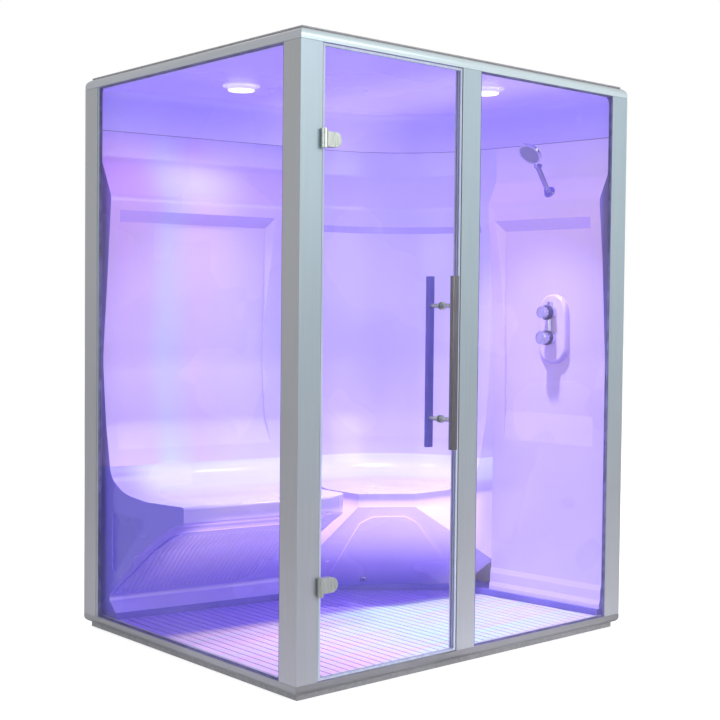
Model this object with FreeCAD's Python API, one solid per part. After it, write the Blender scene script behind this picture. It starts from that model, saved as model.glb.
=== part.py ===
import FreeCAD, Part
import os
from math import cos, pi, radians, sin, sqrt, tan

# Steam shower cabin. Millimetres, +Z up. The origin is on the floor, at the centre of the
# cabin's plan. The glazed front with the door faces -Y, the large side pane faces -X.

# ---- overall cabin -----------------------------------------------------------------------
cabin_width = 1650.0
cabin_depth = 1350.0
cabin_height = 2150.0

# ---- aluminium frame ---------------------------------------------------------------------
post_face = 90.0
frame_thickness = 40.0
extrusion_wall = 3.0
post_flange_depth = 16.0
post_core_gap = 1.0
plinth_height = 20.0
plinth_recess = 22.0
plinth_width = 60.0
sill_height = 33.0
sill_edge_radius = 20.0
cap_thickness = 6.0
cap_recess = 20.0
head_height = 39.0
head_edge_radius = 28.0
mullion_width = 90.0
door_opening_width = 635.0
foot_disc_radius = 28.0
foot_disc_height = 8.0
foot_stud_radius = 6.0
foot_inset = 130.0

# ---- glazing -----------------------------------------------------------------------------
glass_thickness = 8.0
glass_set_back = 5.0
gasket_width = 5.0
gasket_bite = 3.0
gasket_cheek = 2.0
bead_width = 12.0
door_gap = 3.0
door_seal_width = 8.0
door_seal_bite = 3.0
door_seal_cheek = 2.0
stop_strip_width = 12.0
stop_strip_depth = 6.0
stop_strip_gap = 1.0

# ---- hinges ------------------------------------------------------------------------------
hinge_barrel_height = 61.0
hinge_barrel_radius = 11.0
hinge_barrel_offset = 12.0
hinge_barrel_shift = 2.0
hinge_knuckle_height = 13.5
hinge_knuckle_gap = 0.5
hinge_pin_radius = 4.0
hinge_pin_clearance = 0.05
hinge_pin_head_radius = 6.5
hinge_pin_head_height = 1.5
hinge_leaf_thickness = 2.4
hinge_leaf_depth = 30.0
hinge_upper_centre = 1799.5
hinge_lower_centre = 363.5
clamp_height = 50.0
clamp_length = 67.5
clamp_outer_thickness = 9.0
clamp_inner_thickness = 6.0
clamp_lead = 2.5
clamp_neck_thickness = 6.5
clamp_neck_clearance = 1.5
clamp_bolt_radius = 5.0
clamp_bolt_spacing = 24.0
clamp_bolt_inset = 18.0
clamp_edge_radius = 1.5

# ---- door handle -------------------------------------------------------------------------
handle_bar_length = 600.0
handle_bar_width = 26.0
handle_bar_depth = 18.0
handle_bar_edge = 2.0
handle_centre_height = 1077.0
handle_inset = 83.0
handle_reach = 60.0
handle_standoff_spacing = 394.0
handle_standoff_radius = 8.0
handle_washer_radius = 14.0
handle_washer_thickness = 3.0
handle_bolt_radius = 5.0

# ---- moulded interior, plan --------------------------------------------------------------
back_wall_set_back = 17.0
back_wall_splay = 8.77
side_wall_set_back = 25.0
side_wall_splay = 6.65
corner_radius = 560.0
moulding_wall = 12.0
corner_module_width = 727.0
corner_module_depth = 713.0
skirt_depth = 161.0
ceiling_void = 34.0
ceiling_thickness = 8.0
cove_radius = 35.0

# ---- moulded interior, wall sections: drop from turn to turn below the seam, reach into room --
back_brow_drop = 112.0
back_nose_drop = 148.0
back_nose_reach = 74.0
back_chest_drop = 246.0
back_chest_reach = 54.0
back_waist_drop = 390.0
back_waist_reach = 16.0
back_hip_height = 797.0
back_hip_reach = 42.0
back_foot_height = 640.0
back_foot_reach = 71.0

corner_brow_drop = 112.0
corner_nose_drop = 132.0
corner_nose_reach = 50.0
corner_chest_drop = 240.0
corner_chest_reach = 28.0
corner_waist_drop = 411.0
corner_waist_reach = 24.0
corner_hip_height = 797.0
corner_hip_reach = 45.0
corner_foot_height = 640.0
corner_foot_reach = 78.0

shower_brow_drop = 143.0
shower_nose_drop = 103.0
shower_nose_reach = 50.0
shower_chest_drop = 257.0
shower_chest_reach = 23.0
shower_plain_drop = 376.0
skirt_step_height = 168.0
skirt_step_rise = 22.0
skirt_step_reach = 6.0
skirt_foot_height = 109.0
skirt_foot_rise = 18.0
skirt_foot_reach = 12.0

nose_radius = 60.0
back_curve_radius = 500.0
hip_curve_radius = 300.0

# ---- recessed back panels of the walls ------------------------------------------------------
recess_top_drop = 311.0
recess_bevel_height = 43.0
recess_bevel_reach = 36.0
recess_side_bevel = 30.0
recess_foot_height = 660.0
back_recess_start = 50.0
back_recess_end_margin = 122.7
back_recess_top_reach = 34.0
back_recess_waist_reach = 8.0
back_recess_hip_reach = 34.0
corner_recess_margin = 45.0
corner_recess_top_reach = 20.0
corner_recess_waist_reach = 16.0
corner_recess_hip_reach = 38.0
shower_recess_start = 57.0
shower_recess_end_margin = 51.7
shower_recess_reach = 7.0
shower_recess_sink = 12.0
shower_recess_low = 840.0
shower_recess_foot = 720.0

# ---- benches ---------------------------------------------------------------------------------
bench_wall = 10.0
bench_base_height = 75.0
back_seat_height = 541.0
back_seat_depth = 581.0
back_seat_middle_height = 532.0
back_seat_middle_reach = 333.0
back_knee_height = 597.0
back_knee_reach = 79.0
back_knee_radius = 80.0
back_cove_height = 545.0
back_cove_reach = 175.0
back_cove_radius = 240.0
fascia_height = 61.0
under_upper_height = 458.0
under_upper_reach = 505.0
under_middle_height = 411.0
under_middle_reach = 416.0
under_lower_height = 343.0
under_lower_reach = 304.0
under_foot_height = 127.0
under_foot_reach = 60.0
under_upper_radius = 60.0
under_foot_radius = 20.0
toe_reach = 118.0
back_bench_end_gap = 108.0
back_bench_end_radius = 110.0
bench_gap = 4.0
seat_edge_radius = 9.0
pad_height = 6.0
end_panel_depth = 4.0
end_panel_top = 464.0
end_panel_foot = 205.0
end_panel_margin = 40.0
end_panel_length = 270.0
end_panel_radius = 22.0
back_pad_top = 428.0
back_pad_base = 140.0
back_pad_start = 20.0
back_pad_shoulder = 130.0
back_pad_end_margin = 137.7
back_pad_radius = 60.0

corner_seat_height = 520.0
corner_knee_height = 590.0
corner_knee_reach = 90.0
corner_cove_reach = 165.0
corner_cove_height = 537.0
corner_cove_radius = 80.0
corner_cove_end_reach = 270.0
corner_front_inset = 20.0
corner_front_rise = 132.0
corner_side_width = 514.0
corner_fascia_height = 54.0
corner_under_depth = 380.0
corner_pad_top = 421.0
corner_pad_shoulder = 390.0
corner_pad_base = 140.0
corner_pad_top_start = 66.0
corner_pad_top_end = 198.0
corner_pad_shoulder_start = 15.0
corner_pad_shoulder_end = 250.0
corner_pad_base_start = -80.0
corner_pad_base_end = 448.0
corner_pad_radius = 35.0

# ---- floor -----------------------------------------------------------------------------------
tray_underside = 22.0
tray_thickness = 12.0
ledge_left_depth = 119.0
ledge_middle_gap = 113.0
ledge_middle_depth = 233.0
ledge_notch_gap = 13.0
ledge_notch_depth = 178.0
ledge_corner_width = 512.0
ledge_corner_depth = 237.0
ledge_corner_end_width = 134.0
ledge_corner_end_rise = 176.0
side_ledge_reach = 24.0
deck_top = 50.0
deck_slat_height = 9.0
deck_slat_pitch = 38.4
deck_slat_gap = 6.0
deck_bearer_width = 30.0
deck_bearer_count = 5
deck_clearance = 4.0
drain_from_side = 430.0
drain_from_front = 375.0
drain_flange_radius = 55.0
drain_flange_thickness = 3.0
drain_bore_radius = 21.0
drain_pipe_radius = 25.0
drain_grate_thickness = 2.0
drain_hole_radius = 4.0
drain_hole_ring = 13.0
drain_hole_count = 6

# ---- ceiling lights ----------------------------------------------------------------------------
light_back_from_left = 357.0
light_back_from_wall = 428.0
light_front_from_side = 473.0
light_front_from_front = 221.0
light_ring_radius = 71.5
light_ring_height = 4.0
light_drum_radius = 52.0
light_drum_height = 12.0
light_lens_radius = 50.0
light_lens_height = 4.0
light_housing_radius = 58.0
light_housing_gap = 4.0

# ---- steam outlet and its pipe ---------------------------------------------------------------
steam_from_side = 455.0
steam_height = 108.0
steam_cover_radius = 17.0
steam_cover_height = 9.0
steam_slot_radius = 10.0
steam_pipe_radius = 11.0
steam_pipe_wall = 1.5
steam_fitting_length = 20.0
steam_socket_radius = 10.0
steam_socket_length = 30.0
aroma_from_side = 644.0
aroma_height = 203.0
aroma_radius = 8.0

# ---- shower valve ----------------------------------------------------------------------------
valve_from_front = 245.0
valve_upper_height = 1257.0
valve_lower_height = 1154.0
boss_reach = 41.0
boss_width = 142.0
boss_bottom = 1047.0
boss_top = 1333.0
boss_edge_radius = 12.0
valve_port_radius = 27.0
valve_port_length = 22.0
valve_waist_radius = 10.0
collar_radius = 30.0
collar_length = 15.0
collar_groove = 2.5
collar_groove_count = 3
knob_upper_radius = 24.0
knob_lower_radius = 27.0
knob_length = 31.0
knob_gap = 0.5
knob_edge_radius = 3.0
knob_dish_depth = 2.0
knob_dish_margin = 5.0
knob_grip_count = 12
knob_grip_radius = 2.0
spindle_radius = 6.0
spindle_clearance = 0.05
spindle_bite = 20.0
button_radius = 4.5
button_length = 9.0
button_height_above_knob = 37.0
button_travel = 2.0
button_clearance = 0.05
button_boss_radius = 8.0
mixer_width = 130.0
mixer_height = 170.0
mixer_depth = 28.0
pipe_radius = 7.5
inlet_radius = 11.0
inlet_wall = 1.5
inlet_spacing = 90.0
outlet_radius = 9.0

# ---- shower head -----------------------------------------------------------------------------
shower_offset = 4.0
shower_drop = 60.0
flange_radius = 24.0
flange_length = 11.0
flange_throat_radius = 15.0
arm_lean = 34.7
arm_length = 112.0
arm_radius = 10.5
arm_seat_length = 12.0
arm_socket_gap = 0.3
elbow_depth = 80.0
head_radius = 50.0
head_face_tilt = 45.0
head_shell_thickness = 15.0
head_dome_height = 13.0
head_offset = 64.0
head_advance = 6.0
face_plate_radius = 43.0
face_plate_thickness = 4.0
nozzle_radius = 1.6
nozzle_height = 1.6
nozzle_ring_spacing = 9.0
nozzle_ring_count = 4
spray_ring_width = 3.5
spray_ring_height = 7.0
spray_ring_clearance = 0.05
lever_length = 9.0
lever_width = 12.0
lever_edge_radius = 1.5
hinge_eye_radius = 9.0
hinge_eye_width = 9.0
hinge_eye_gap = 0.3
fork_cheek = 6.5
tilt_pin_radius = 3.0
tilt_pin_clearance = 0.05
tilt_knob_radius = 8.0
tilt_knob_length = 6.0

# ---- rear cover panels -----------------------------------------------------------------------
panel_thickness = 6.0
panel_set_back = 3.0
batten_width = 20.0

# ---- places worked out from the sizes above ----------------------------------------------------
left = -cabin_width / 2
right = cabin_width / 2
front = -cabin_depth / 2
rear = cabin_depth / 2
inner_left = left + frame_thickness
inner_right = right - frame_thickness
inner_front = front + frame_thickness
inner_rear = rear - frame_thickness
sill_top = plinth_height + sill_height
head_top = cabin_height - cap_thickness
head_bottom = head_top - head_height
glass_front = front + glass_set_back
glass_back = glass_front + glass_thickness
door_left = left + post_face
door_right = door_left + door_opening_width
mullion_left_edge = door_right
mullion_right_edge = mullion_left_edge + mullion_width
handle_centre_x = door_right - handle_inset
tray_top = tray_underside + tray_thickness
hinge_axis_x = door_left - hinge_barrel_shift
hinge_axis_y = front - hinge_barrel_offset
hinge_heights = (hinge_lower_centre, hinge_upper_centre)
valve_heights = (valve_lower_height, valve_upper_height)
ceiling_height = head_top - ceiling_void
seam_height = ceiling_height - skirt_depth
back_brow_height = seam_height - back_brow_drop
back_nose_height = back_brow_height - back_nose_drop
back_chest_height = back_nose_height - back_chest_drop
back_waist_height = back_chest_height - back_waist_drop
corner_brow_height = seam_height - corner_brow_drop
corner_nose_height = corner_brow_height - corner_nose_drop
corner_chest_height = corner_nose_height - corner_chest_drop
corner_waist_height = corner_chest_height - corner_waist_drop
shower_brow_height = seam_height - shower_brow_drop
shower_nose_height = shower_brow_height - shower_nose_drop
shower_chest_height = shower_nose_height - shower_chest_drop
shower_plain_height = shower_chest_height - shower_plain_drop
shower_height = shower_brow_height - shower_drop
recess_top_height = seam_height - recess_top_drop
back_wall_y = inner_rear - back_wall_set_back
side_wall_x = inner_right - side_wall_set_back
module_joint_x = side_wall_x - corner_module_width
side_module_y = back_wall_y - corner_module_depth
back_bench_end_x = module_joint_x - back_bench_end_gap
corner_front_x = module_joint_x + corner_front_inset
corner_front_y = side_module_y + corner_front_rise
corner_side_x = side_wall_x - corner_side_width
ledge_left_y = back_wall_y - ledge_left_depth
ledge_middle_x = module_joint_x - ledge_middle_gap
ledge_middle_y = back_wall_y - ledge_middle_depth
ledge_notch_x = module_joint_x - ledge_notch_gap
ledge_notch_y = back_wall_y - ledge_notch_depth
ledge_corner_x = side_wall_x - ledge_corner_width
ledge_corner_y = back_wall_y - ledge_corner_depth
ledge_corner_end_x = side_wall_x - ledge_corner_end_width
ledge_corner_end_y = side_module_y + ledge_corner_end_rise
drain_x = side_wall_x - drain_from_side
drain_y = inner_front + drain_from_front
steam_x = side_wall_x - steam_from_side
aroma_x = side_wall_x - aroma_from_side
valve_y = inner_front + valve_from_front
shower_y = valve_y + shower_offset
boss_front_x = side_wall_x - boss_reach
light_places = ((inner_left + light_back_from_left, back_wall_y - light_back_from_wall),
                (side_wall_x - light_front_from_side, inner_front + light_front_from_front))


def vec(x, y, z=0.0):
    return FreeCAD.Vector(x, y, z)


up = vec(0, 0, 1)
back_heading = vec(cos(radians(back_wall_splay)), -sin(radians(back_wall_splay)))
side_heading = vec(sin(radians(side_wall_splay)), -cos(radians(side_wall_splay)))
turn = 90 - back_wall_splay - side_wall_splay
back_origin = vec(inner_left, back_wall_y)


def inward(heading):
    """Direction from a wall line into the room."""
    return vec(heading.y, -heading.x)


def meeting(first, first_heading, second, second_heading):
    """Point where two plan lines cross."""
    across = first_heading.x * second_heading.y - first_heading.y * second_heading.x
    step = second - first
    along = (step.x * second_heading.y - step.y * second_heading.x) / across
    return first + first_heading * along


side_front_point = vec(side_wall_x, inner_front)
walls_cross = meeting(back_origin, back_heading, side_front_point, side_heading)
tangent_length = corner_radius * tan(radians(turn / 2))
arc_start = walls_cross - back_heading * tangent_length
arc_end = walls_cross + side_heading * tangent_length
arc_centre = arc_start + inward(back_heading) * corner_radius
side_origin = meeting(arc_end, side_heading, vec(0, side_module_y), vec(1, 0))
joint_point = meeting(back_origin, back_heading, vec(module_joint_x, 0), vec(0, 1))
back_run = (joint_point - back_origin).Length
side_run = (side_front_point - side_origin).Length
corner_lead = (arc_start - joint_point).Length
corner_tail = (side_origin - arc_end).Length
back_recess_end = back_run - back_recess_end_margin
back_pad_end = back_run - back_pad_end_margin
shower_recess_end = side_run - shower_recess_end_margin


# ---- shape helpers -----------------------------------------------------------------------------
def block(x0, x1, y0, y1, z0, z1):
    """Box between two opposite corners."""
    return Part.makeBox(x1 - x0, y1 - y0, z1 - z0, vec(x0, y0, z0))


def rod(start, end, radius):
    """Round bar between two points."""
    return Part.makeCylinder(radius, (end - start).Length, start, end - start)


def rounded_face(corners, place):
    """Face whose outline has straight runs and tangent arcs; a corner is (a, b, radius)."""
    points = [(vec(a, b), radius) for a, b, radius in corners]
    edges = []
    last = None
    first = None
    for index, (point, radius) in enumerate(points):
        coming = (point - points[index - 1][0]).normalize()
        going = (points[(index + 1) % len(points)][0] - point).normalize()
        bend = (going - coming).Length / 2
        half = sqrt(max(1 - bend * bend, 0.0))
        setback = radius * bend / half
        entry = point - coming * setback
        leave = point + going * setback
        if last is not None:
            edges.append(Part.makeLine(place(last), place(entry)))
        else:
            first = entry
        if radius > 0:
            middle = point + (going - coming).normalize() * (radius / half - radius)
            edges.append(Part.Arc(place(entry), place(middle), place(leave)).toShape())
        last = leave
    edges.append(Part.makeLine(place(last), place(first)))
    return Part.Face(Part.Wire(edges))


def slab(corners, z0, z1):
    """Upright prism over a plan outline."""
    face = rounded_face(corners, lambda point: vec(point.x, point.y, z0))
    return face.extrude(up * (z1 - z0))


def wall_place(origin, heading, along):
    """Places a section point (reach, height) on a wall, some way along it."""
    start = origin + heading * along
    side = inward(heading)
    return lambda point: start + side * point.x + up * point.y


def wall_run(section, origin, heading, start, end):
    """Wall section carried straight along its wall."""
    face = rounded_face(section, wall_place(origin, heading, start))
    return face.extrude(heading * (end - start))


def corner_run(section, lead, tail):
    """Wall section carried along the back line, round the corner and along the side line."""
    first = wall_run(section, arc_start, back_heading, -lead, 0)
    face = rounded_face(section, wall_place(arc_start, back_heading, 0))
    bend = face.revolve(arc_centre, up, -turn)
    last = wall_run(section, arc_end, side_heading, 0, tail)
    return first.fuse([bend, last]).removeSplitter()


def shifted(section, reach, lift):
    """Section moved into or out of the room and up or down."""
    return [(a + reach, b + lift, radius) for a, b, radius in section]


def ring_pane(x0, x1, z0, z1, width, y0, y1):
    """Rectangular frame standing in the front face."""
    outer = block(x0, x1, y0, y1, z0, z1)
    return outer.cut(block(x0 + width, x1 - width, y0, y1, z0 + width, z1 - width))


def edges_at(shape, test):
    """Edges whose middle point passes a test."""
    return [edge for edge in shape.Edges if test(edge.CenterOfMass, edge)]


# ---- frame -------------------------------------------------------------------------------------
def tube_post(x0, x1, y0, y1):
    """Hollow aluminium post between sill and head rails."""
    wall = extrusion_wall
    outer = block(x0, x1, y0, y1, sill_top, head_bottom)
    return outer.cut(block(x0 + wall, x1 - wall, y0 + wall, y1 - wall, sill_top, head_bottom))


def angle_post(face, core):
    """Hollow post made of a shallow face flange and a deeper core behind the wall's end."""
    wall = extrusion_wall
    low = sill_top
    high = head_bottom
    outer = block(*face, low, high).fuse(block(*core, low, high))
    hollows = [block(x0 + wall, x1 - wall, y0 + wall, y1 - wall, low, high)
               for x0, x1, y0, y1 in (face, core)]
    return outer.cut(hollows).removeSplitter()


def left_post():
    """Far post of the side pane."""
    core_y = back_wall_y + moulding_wall + post_core_gap
    return angle_post((left, left + post_flange_depth, rear - post_face, rear),
                      (left, inner_left, core_y, rear))


def right_post():
    """Front post beside the fixed pane."""
    core_x = side_wall_x + moulding_wall + post_core_gap
    return angle_post((right - post_face, right, front, front + post_flange_depth),
                      (core_x, right, front, inner_front))


def rounded_plan(inset, z0, z1, radius, at_top):
    """Block over the whole plan, its outer edge rounded at the top or at the bottom."""
    body = block(left + inset, right - inset, front + inset, rear - inset, z0, z1)
    level = z1 if at_top else z0
    return body.makeFillet(radius, edges_at(body, lambda c, e: abs(c.z - level) < extrusion_wall))


def hollow_ring(z0, z1, radius, at_top):
    """Closed rail ring with a hollow inside, before it is cut into mitred rails."""
    wall = extrusion_wall
    outer = rounded_plan(0, z0, z1, radius, at_top)
    outer = outer.cut(block(inner_left, inner_right, inner_front, inner_rear, z0, z1))
    hollow = rounded_plan(wall, z0 + wall, z1 - wall, radius - wall, at_top)
    core = block(inner_left - wall, inner_right + wall, inner_front - wall, inner_rear + wall, z0, z1)
    return outer.cut(hollow.cut(core))


def mitred_rails(z0, z1, radius, at_top):
    """Four rails cut from the ring at 45 degree mitres: front, right, back, left."""
    ring = hollow_ring(z0, z1, radius, at_top)
    outer = [(left, front), (right, front), (right, rear), (left, rear)]
    inner = [(inner_left, inner_front), (inner_right, inner_front), (inner_right, inner_rear),
             (inner_left, inner_rear)]
    rails = []
    for index in range(len(outer)):
        after = (index + 1) % len(outer)
        plan = [outer[index] + (0,), outer[after] + (0,), inner[after] + (0,), inner[index] + (0,)]
        rails.append(ring.common(slab(plan, z0, z1)))
    return rails


def roof_cap():
    """Flat cover plate lying on the head rails."""
    return block(left + cap_recess, right - cap_recess, front + cap_recess, rear - cap_recess,
                 head_top, cabin_height)


def plinth():
    """Set-back base ring that carries the sill rails."""
    x0 = left + plinth_recess
    x1 = right - plinth_recess
    y0 = front + plinth_recess
    y1 = rear - plinth_recess
    ring = block(x0, x1, y0, y1, 0, plinth_height)
    width = plinth_width
    return ring.cut(block(x0 + width, x1 - width, y0 + width, y1 - width, 0, plinth_height))


def levelling_feet():
    """Six screw feet under the tray."""
    feet = []
    for x in (left + foot_inset, 0, right - foot_inset):
        for y in (front + foot_inset, rear - foot_inset):
            disc = rod(vec(x, y, 0), vec(x, y, foot_disc_height), foot_disc_radius)
            stud = rod(vec(x, y, 0), vec(x, y, tray_underside), foot_stud_radius)
            feet.append(disc.fuse(stud).removeSplitter())
    return Part.makeCompound(feet)


# ---- glazing -----------------------------------------------------------------------------------
def pane_front(x0, x1, z0, z1):
    """Pane standing in the front face."""
    return block(x0, x1, glass_front, glass_back, z0, z1)


def gasket_front(x0, x1, z0, z1, width, bite, cheek):
    """U-shaped seal frame round a pane in the front face."""
    ring = ring_pane(x0, x1, z0, z1, width, glass_front - cheek, glass_back + cheek)
    edge = width - bite
    return ring.cut(pane_front(x0 + edge, x1 - edge, z0 + edge, z1 - edge))


def turn_to_left(shape, span):
    """Brings a front piece, drawn from x=0 to x=span, to the left side of the cabin."""
    turned = shape.copy()
    turned.translate(vec(0, -front, 0))
    turned.rotate(vec(0, 0, 0), up, -90)
    turned.translate(vec(left, front + post_face + span, 0))
    return turned


def left_pane_span():
    return cabin_depth - 2 * post_face - bead_width


def left_glass():
    """Large side pane."""
    edge = gasket_width - gasket_bite
    span = left_pane_span()
    return turn_to_left(pane_front(edge, span - edge, sill_top + edge, head_bottom - edge), span)


def left_gasket():
    """Seal frame of the side pane."""
    span = left_pane_span()
    seal = gasket_front(0, span, sill_top, head_bottom, gasket_width, gasket_bite, gasket_cheek)
    return turn_to_left(seal, span)


def left_bead():
    """Upright glazing bead at the far end of the side pane."""
    y1 = rear - post_face
    x0 = left + glass_set_back - gasket_cheek
    x1 = left + post_flange_depth
    return block(x0, x1, y1 - bead_width, y1, sill_top, head_bottom)


def fixed_glass():
    """Fixed front pane beside the door."""
    edge = gasket_width - gasket_bite
    return pane_front(mullion_right_edge + edge, right - post_face - edge, sill_top + edge,
                      head_bottom - edge)


def fixed_gasket():
    """Seal frame of the fixed front pane."""
    return gasket_front(mullion_right_edge, right - post_face, sill_top, head_bottom,
                        gasket_width, gasket_bite, gasket_cheek)


def door_seal():
    """Translucent seal frame round the door pane."""
    return gasket_front(door_left + door_gap, door_right - door_gap, sill_top + door_gap,
                        head_bottom - door_gap, door_seal_width, door_seal_bite, door_seal_cheek)


def clamp_bolts(centre, radius):
    """Two bolts that draw the hinge plates together through the pane."""
    x = hinge_axis_x + hinge_barrel_radius + clamp_lead + clamp_bolt_inset
    bolts = []
    for side in (-1, 1):
        z = centre + side * clamp_bolt_spacing / 2
        start = vec(x, glass_front - clamp_outer_thickness / 2, z)
        bolts.append(rod(start, vec(x, glass_back + clamp_inner_thickness / 2, z), radius))
    return bolts


def standoff_heights():
    half = handle_standoff_spacing / 2
    return (handle_centre_height - half, handle_centre_height + half)


def door_glass():
    """Door pane with holes for the hinge bolts and the handle bolts."""
    edge = door_gap + door_seal_width - door_seal_bite
    pane = pane_front(door_left + edge, door_right - edge, sill_top + edge, head_bottom - edge)
    for centre in hinge_heights:
        pane = pane.cut(clamp_bolts(centre, clamp_bolt_radius))
    for z in standoff_heights():
        hole = rod(vec(handle_centre_x, glass_front, z), vec(handle_centre_x, glass_back, z),
                   handle_bolt_radius)
        pane = pane.cut(hole)
    return pane


def door_stop():
    """Upright strip on the mullion that the closed door rests against."""
    y0 = glass_back + door_seal_cheek + stop_strip_gap
    return block(door_right - stop_strip_width, door_right, y0, y0 + stop_strip_depth,
                 sill_top + door_gap, head_bottom - door_gap)


# ---- hinges ------------------------------------------------------------------------------------
def barrel(z0, z1, radius):
    """Round piece on the hinge axis."""
    return rod(vec(hinge_axis_x, hinge_axis_y, z0), vec(hinge_axis_x, hinge_axis_y, z1), radius)


def hinge_leaves():
    """Post side of both hinges: a leaf in the door gap and its two outer knuckles."""
    leaves = []
    for centre in hinge_heights:
        z0 = centre - hinge_barrel_height / 2
        z1 = centre + hinge_barrel_height / 2
        leaf = block(door_left, door_left + hinge_leaf_thickness, hinge_axis_y,
                     front + hinge_leaf_depth, z0, z1)
        window = hinge_barrel_radius + hinge_knuckle_gap
        low = z0 + hinge_knuckle_height
        high = z1 - hinge_knuckle_height
        leaf = leaf.cut(block(left, right, hinge_axis_y, hinge_axis_y + window, low, high))
        leaf = leaf.fuse([barrel(z0, low, hinge_barrel_radius), barrel(high, z1, hinge_barrel_radius)])
        leaves.append(leaf.cut(barrel(z0, z1, hinge_pin_radius)).removeSplitter())
    return Part.makeCompound(leaves)


def hinge_pins():
    """Pins with small heads at both ends."""
    pins = []
    for centre in hinge_heights:
        z0 = centre - hinge_barrel_height / 2
        z1 = centre + hinge_barrel_height / 2
        shank = barrel(z0, z1, hinge_pin_radius)
        heads = [barrel(z0 - hinge_pin_head_height, z0, hinge_pin_head_radius),
                 barrel(z1, z1 + hinge_pin_head_height, hinge_pin_head_radius)]
        pins.append(shank.fuse(heads).removeSplitter())
    return Part.makeCompound(pins)


def clamp_plate(centre, y0, y1):
    """D-shaped plate with a round free end."""
    x0 = hinge_axis_x + hinge_barrel_radius + clamp_lead
    half = clamp_height / 2
    body = block(x0, x0 + clamp_length - half, y0, y1, centre - half, centre + half)
    x1 = x0 + clamp_length - half
    nose = rod(vec(x1, y0, centre), vec(x1, y1, centre), half)
    return body.fuse(nose).removeSplitter()


def hinge_clamps():
    """Door side of both hinges: middle knuckle, neck, outer and inner plate and bolts."""
    clamps = []
    for centre in hinge_heights:
        half = hinge_barrel_height / 2 - hinge_knuckle_height - hinge_knuckle_gap
        outer_front = glass_front - clamp_outer_thickness
        outer = clamp_plate(centre, outer_front, glass_front)
        rim = edges_at(outer, lambda c, e: abs(c.y - outer_front) < 0.01 and c.x > hinge_axis_x
                       + hinge_barrel_radius + clamp_lead + clamp_edge_radius)
        outer = outer.makeFillet(clamp_edge_radius, rim)
        inner = clamp_plate(centre, glass_back, glass_back + clamp_inner_thickness)
        knuckle = barrel(centre - half, centre + half, hinge_barrel_radius)
        x1 = hinge_axis_x + hinge_barrel_radius + clamp_lead + clamp_bolt_inset / 2
        neck_back = front - clamp_neck_clearance
        neck = block(hinge_axis_x, x1, neck_back - clamp_neck_thickness, neck_back,
                     centre - half, centre + half)
        clamp = knuckle.fuse([neck, outer, inner] + clamp_bolts(centre, clamp_bolt_radius))
        bore = barrel(centre - half, centre + half, hinge_pin_radius + hinge_pin_clearance)
        clamps.append(clamp.cut(bore).removeSplitter())
    return Part.makeCompound(clamps)


# ---- handle ------------------------------------------------------------------------------------
def handle_bar(side):
    """Flat-sided upright pull bar, outside (-1) or inside (+1) the door."""
    middle = (glass_front + glass_back) / 2 + side * handle_reach
    z0 = handle_centre_height - handle_bar_length / 2
    bar = block(handle_centre_x - handle_bar_width / 2, handle_centre_x + handle_bar_width / 2,
                middle - handle_bar_depth / 2, middle + handle_bar_depth / 2,
                z0, z0 + handle_bar_length)
    return bar.makeFillet(handle_bar_edge, edges_at(bar, lambda c, e: e.Length > handle_bar_width * 2))


def handle_standoffs():
    """Spacers with washers on both faces of the pane, and the bolts through it."""
    middle = (glass_front + glass_back) / 2
    gap = handle_reach - handle_bar_depth / 2
    pieces = []
    for z in standoff_heights():
        bolt = rod(vec(handle_centre_x, middle - gap, z), vec(handle_centre_x, middle + gap, z),
                   handle_bolt_radius)
        parts = []
        for side, face in ((-1, glass_front), (1, glass_back)):
            seat = vec(handle_centre_x, face, z)
            parts.append(rod(seat, vec(handle_centre_x, middle + side * gap, z),
                             handle_standoff_radius))
            parts.append(rod(seat, seat + vec(0, side * handle_washer_thickness, 0),
                             handle_washer_radius))
        pieces.append(bolt.fuse(parts).removeSplitter())
    return Part.makeCompound(pieces)


# ---- moulded walls -----------------------------------------------------------------------------
def back_section(offset):
    """Back wall section: upright band, brow, rounded nose, backrest curve, foot."""
    return shifted([(-moulding_wall, back_foot_height, 0), (-moulding_wall, seam_height, 0),
                    (0, seam_height, 0), (0, back_brow_height, nose_radius),
                    (back_nose_reach, back_nose_height, nose_radius),
                    (back_chest_reach, back_chest_height, back_curve_radius),
                    (back_waist_reach, back_waist_height, back_curve_radius),
                    (back_hip_reach, back_hip_height, hip_curve_radius),
                    (back_foot_reach, back_foot_height, 0)], offset, 0)


def corner_section(offset):
    """Corner wall section."""
    return shifted([(-moulding_wall, corner_foot_height, 0), (-moulding_wall, seam_height, 0),
                    (0, seam_height, 0), (0, corner_brow_height, nose_radius),
                    (corner_nose_reach, corner_nose_height, nose_radius),
                    (corner_chest_reach, corner_chest_height, back_curve_radius),
                    (corner_waist_reach, corner_waist_height, back_curve_radius),
                    (corner_hip_reach, corner_hip_height, hip_curve_radius),
                    (corner_foot_reach, corner_foot_height, 0)], offset, 0)


def shower_section(offset):
    """Shower wall section with its two soft steps above the tray."""
    behind = -moulding_wall - shower_recess_sink
    return shifted([(behind, bench_base_height, 0), (behind, seam_height, 0),
                    (0, seam_height, 0), (0, shower_brow_height, nose_radius),
                    (shower_nose_reach, shower_nose_height, nose_radius),
                    (shower_chest_reach, shower_chest_height, back_curve_radius),
                    (0, shower_plain_height, back_curve_radius),
                    (0, skirt_step_height, 0),
                    (skirt_step_reach, skirt_step_height - skirt_step_rise, 0),
                    (skirt_step_reach, skirt_foot_height, 0),
                    (skirt_foot_reach, skirt_foot_height - skirt_foot_rise, 0),
                    (skirt_foot_reach, bench_base_height, 0)], offset, 0)


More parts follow.
